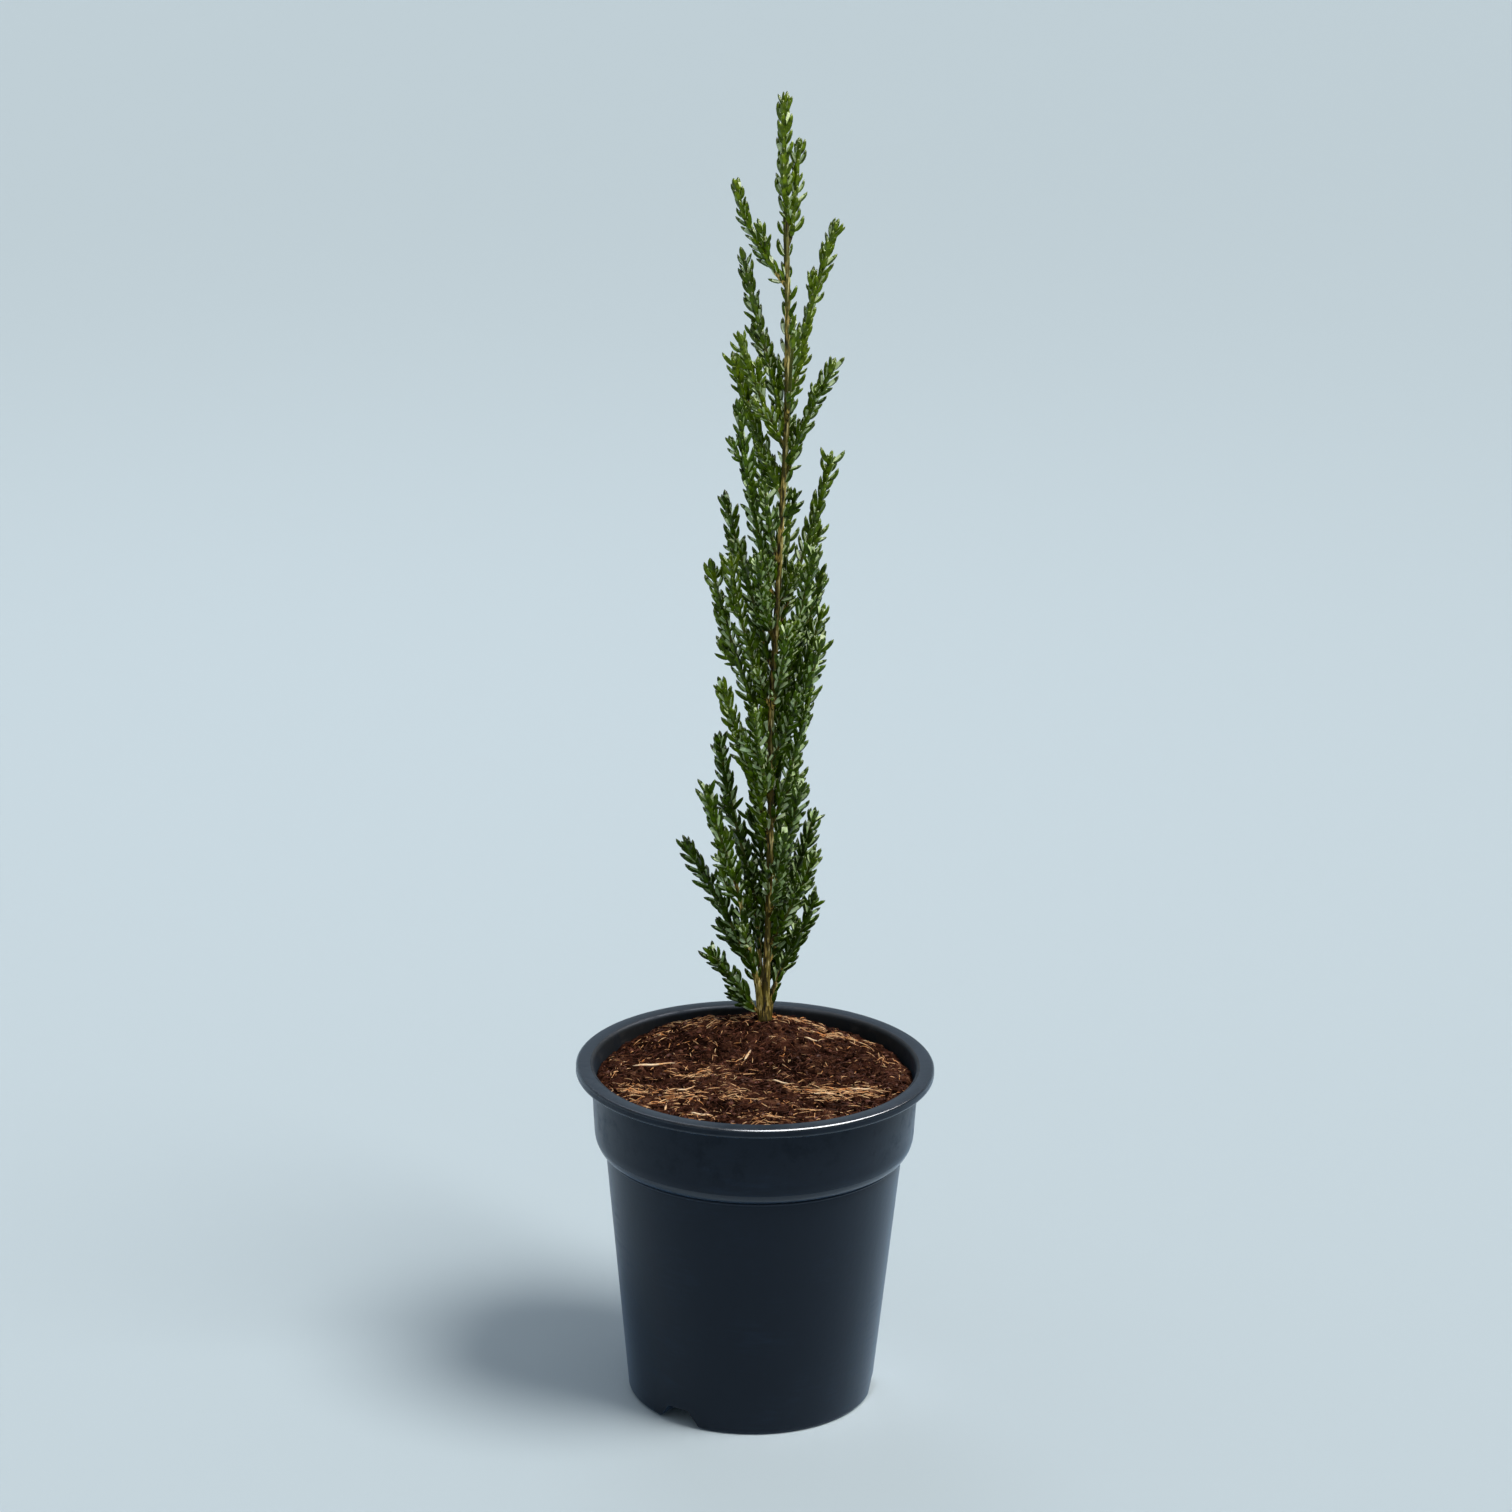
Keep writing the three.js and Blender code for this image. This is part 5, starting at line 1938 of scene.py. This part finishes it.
    def grow_leader(self, bank: LeafBank, wood: list[MeshData]) -> None:
        """Grow the leafy leader, and the few leaves on the trunk and the boughs.

        Args:
            bank: Store that takes the leaves.
            wood: List that takes the stem.
        """
        random = np.random.default_rng(self.seed + 990)
        leader = self.leader()
        self.add_wood(wood, leader, self.framework.trunk_tip_radius * 0.96, 0.42, 10)
        self.leaf_row(bank, leader, random, 1.0, 2.0, 1.08, Tone.FRESH, 0.5)
        trunk = self.framework.limbs["trunk"].axis
        split = trunk.length - self.upper_length
        upper = Axis(trunk.at(np.linspace(split, trunk.length, 20)))
        self.leaf_row(bank, upper, random, 1.0, 4.2, 0.95, Tone.OLIVE, 0.9, on_limb=True)
        lower = Axis(trunk.at(np.linspace(0, split, 200)))
        self.leaf_row(bank, lower, random, self.bare_foot, 3.6, 0.95, Tone.MIDDLE, 1.1, on_limb=True)
        for name, low in self.bough_leaves_from.items():
            bough = self.framework.limbs[name].axis
            self.leaf_row(bank, bough, random, low, 2.3, 1.0, Tone.DEEP, 0.9, on_limb=True, front=0.6)

    def build(self) -> list[bpy.types.Object]:
        """Build and dress the crown.

        Returns:
            The pieces of wood and of leaves, by the side of the plant.
        """
        green_wood = LeafSkin("green_twig", "#5b5f22", "#454a16", 0.5).material()
        wood_finishes = [bpy.data.materials["young_bark"], green_wood]
        leaf_finishes = [skin.material() for tone in Tone for skin in LEAF_SKINS[tone]]
        sides: dict[str, list[tuple[int, Spray]]] = {}
        for index, spray in enumerate(spray_rows()):
            sides.setdefault(spray.name.split("_")[1], []).append((index, spray))
        pieces = []
        for side, members in sides.items():
            bank, wood = LeafBank(), []
            for index, spray in members:
                self.grow(spray, index, bank, wood)
            pieces += self.finish(side, bank, wood, [spray.name for _, spray in members],
                                  wood_finishes, leaf_finishes)
        bank, wood = LeafBank(), []
        self.grow_leader(bank, wood)
        random = np.random.default_rng(self.seed + 500)
        for name, (low, high) in self.shoots_between.items():
            self.grow_shoots(self.framework.limbs[name], low, high, bank, wood, random)
        return pieces + self.finish("middle", bank, wood, ["leader_tip"], wood_finishes, leaf_finishes)

    def finish(self, side: str, bank: LeafBank, wood: list[MeshData], nodes: list[str],
               wood_finishes: list[bpy.types.Material], leaf_finishes: list[bpy.types.Material]
               ) -> list[bpy.types.Object]:
        """Make the two pieces of one side.

        Args:
            side: Side of the plant.
            bank: Its leaves.
            wood: Its stems and twigs.
            nodes: Solids that the pieces stand for.
            wood_finishes: Bark and green wood.
            leaf_finishes: Two skins for each green.

        Returns:
            The wood and the leaves.
        """
        leaves = bank.mesh(np.random.default_rng(self.seed + len(nodes)))
        stems = MeshData.joined(wood)
        pieces = [stems.make(f"twigs_{side}", wood_finishes), leaves.make(f"leaves_{side}", leaf_finishes)]
        for piece in pieces:
            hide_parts(*nodes)
        return pieces


# The studio


@dataclass
class Studio:
    """Plain pale floor, soft lights and the camera."""

    floor_colour: str = "#bfced9"
    floor_flat: float = 6500.0
    floor_reach: float = 15000.0
    floor_rise: float = 7000.0
    floor_slope: float = 60.0
    floor_sides: int = 96
    lit_middle: float = 220.0
    lens: float = 100.0
    sensor: float = 36.0
    clip_end: float = 50000.0
    pitch: float = 17.1389
    roll: float = 0.867
    distance: float = 1604.13
    target: tuple[float, float, float] = (-1.4714, 0.0, 261.79)

    def floor(self) -> bpy.types.Object:
        """Plain pale floor under the pot that rises far out, so that every view ends on it.

        Returns:
            The piece.
        """
        steepest, sides = math.radians(self.floor_slope), self.floor_sides
        rows = [(self.floor_flat / 2, 0.0)]
        for turn in np.linspace(0, steepest, 13):
            rows.append((mix(self.floor_flat, self.floor_reach, math.sin(turn) / math.sin(steepest)),
                         self.floor_rise * (1 - math.cos(turn)) / (1 - math.cos(steepest))))
        points = [[0.0, 0.0, 0.0]]
        for radius, height in rows:
            points += [level_way(i * FULL_TURN / sides) * radius + UP * height for i in range(sides)]
        side = np.arange(sides)
        after = np.roll(side, -1)
        fan = np.stack([np.zeros(sides), 1 + side, 1 + after], axis=-1)
        inner = 1 + sides * np.arange(len(rows) - 1)[:, None]
        quads = np.stack([inner + side, inner + sides + side, inner + sides + after, inner + after], axis=-1)
        material, tree = begin_material("pale_floor")
        end_material(tree, {
            "Base Color": linear(self.floor_colour), "Roughness": 0.9, "Specular IOR Level": 0.05})
        piece = MeshData.plain(np.array(points), quads, fan).make("floor", [material])
        return piece

    def hang(self, light: bpy.types.Light, power: float, colour: str, way: Vector) -> bpy.types.Object:
        """Put a light into the scene.

        Args:
            light: Light with its shape.
            power: Watts of an area, or watts per square metre of a sun.
            colour: Colour of its light.
            way: Direction that it shines in.

        Returns:
            The lamp.
        """
        light.energy = power
        light.color = linear(colour)[:3]
        lamp = bpy.data.objects.new(light.name, light)
        bpy.context.scene.collection.objects.link(lamp)
        lamp.rotation_euler = way.to_track_quat("-Z", "Y").to_euler()
        return lamp

    def area_light(self, name: str, place: tuple[float, float, float], size: tuple[float, float],
                   power: float, colour: str) -> bpy.types.Object:
        """Soft light that faces the middle of the plant.

        Args:
            name: Name of the light.
            place: Its middle.
            size: Its width and its height.
            power: Radiant power in watts.
            colour: Colour of its light.

        Returns:
            The lamp.
        """
        light = bpy.data.lights.new(name, "AREA")
        light.shape = "RECTANGLE"
        light.size, light.size_y = size[0] * MM, size[1] * MM
        spot = Vector(place) * MM
        lamp = self.hang(light, power, colour, Vector((0, 0, self.lit_middle)) * MM - spot)
        lamp.location = spot
        return lamp

    def sun_light(self, name: str, way: tuple[float, float, float], spread: float, power: float,
                  colour: str) -> bpy.types.Object:
        """Even soft light from far off.

        Args:
            name: Name of the light.
            way: Direction that it comes from.
            spread: Angle across its face in degrees.
            power: Strength in watts per square metre.
            colour: Colour of its light.

        Returns:
            The lamp.
        """
        light = bpy.data.lights.new(name, "SUN")
        light.angle = math.radians(spread)
        return self.hang(light, power, colour, -Vector(way))

    def world(self) -> None:
        """Even pale daylight from all round."""
        world = bpy.data.worlds.new("soft_room")
        world.use_nodes = True
        tree = world.node_tree
        tree.nodes.clear()
        sky = add_node(tree, "ShaderNodeBackground", None, {"Color": linear("#e9eff3"), "Strength": 0.34})
        add_node(tree, "ShaderNodeOutputWorld", None, {"Surface": sky.outputs["Background"]})
        bpy.context.scene.world = world

    def camera(self) -> None:
        """Camera at the photograph's place, lens and slight roll."""
        pitch, roll = math.radians(self.pitch), math.radians(self.roll)
        ahead = Vector((0, math.cos(pitch), -math.sin(pitch)))
        right, above = Vector((1, 0, 0)), Vector((0, math.sin(pitch), math.cos(pitch)))
        turned_right = right * math.cos(roll) + above * math.sin(roll)
        turned_above = above * math.cos(roll) - right * math.sin(roll)
        place = (Vector(self.target) - ahead * self.distance) * MM
        data = bpy.data.cameras.new("camera")
        data.lens = self.lens
        data.sensor_width = self.sensor
        data.clip_end = self.clip_end * MM
        camera = bpy.data.objects.new("camera", data)
        bpy.context.scene.collection.objects.link(camera)
        matrix = Matrix((turned_right, turned_above, -ahead)).transposed().to_4x4()
        matrix.translation = place
        camera.matrix_world = matrix
        bpy.context.scene.camera = camera

    def build(self) -> None:
        """Set the floor, the lights, the world and the camera. The strip shows in glossy surfaces alone."""
        self.floor()
        self.sun_light("key_light", (0.8, -0.32, 1.4), 28.0, 2.6, "#fffaf0")
        strip = self.area_light("strip_light", (480, -160, 1750), (2600, 950), 330.0, "#fffaf6")
        strip.visible_diffuse = False
        self.area_light("back_light", (-300, 1200, 1500), (700, 700), 3.5, "#f4f8ff")
        self.world()
        self.camera()
        bpy.context.scene.view_settings.view_transform = "Standard"


def main() -> None:
    """Build every part in order and let it ride on the one body."""
    logging.basicConfig(level=logging.INFO, format="%(message)s")
    Studio().build()
    pot = NurseryPot()
    plant = Plant()
    framework = Framework(plant)
    pieces = [pot.build(), *CompostBed(pot, plant).build(), *framework.build(),
              *Crown(plant, framework).build()]
    for piece in pieces:
        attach(piece, "root")
        log.info("%s: %d faces", piece.name, len(piece.data.polygons))


if __name__ == "__main__":
    main()
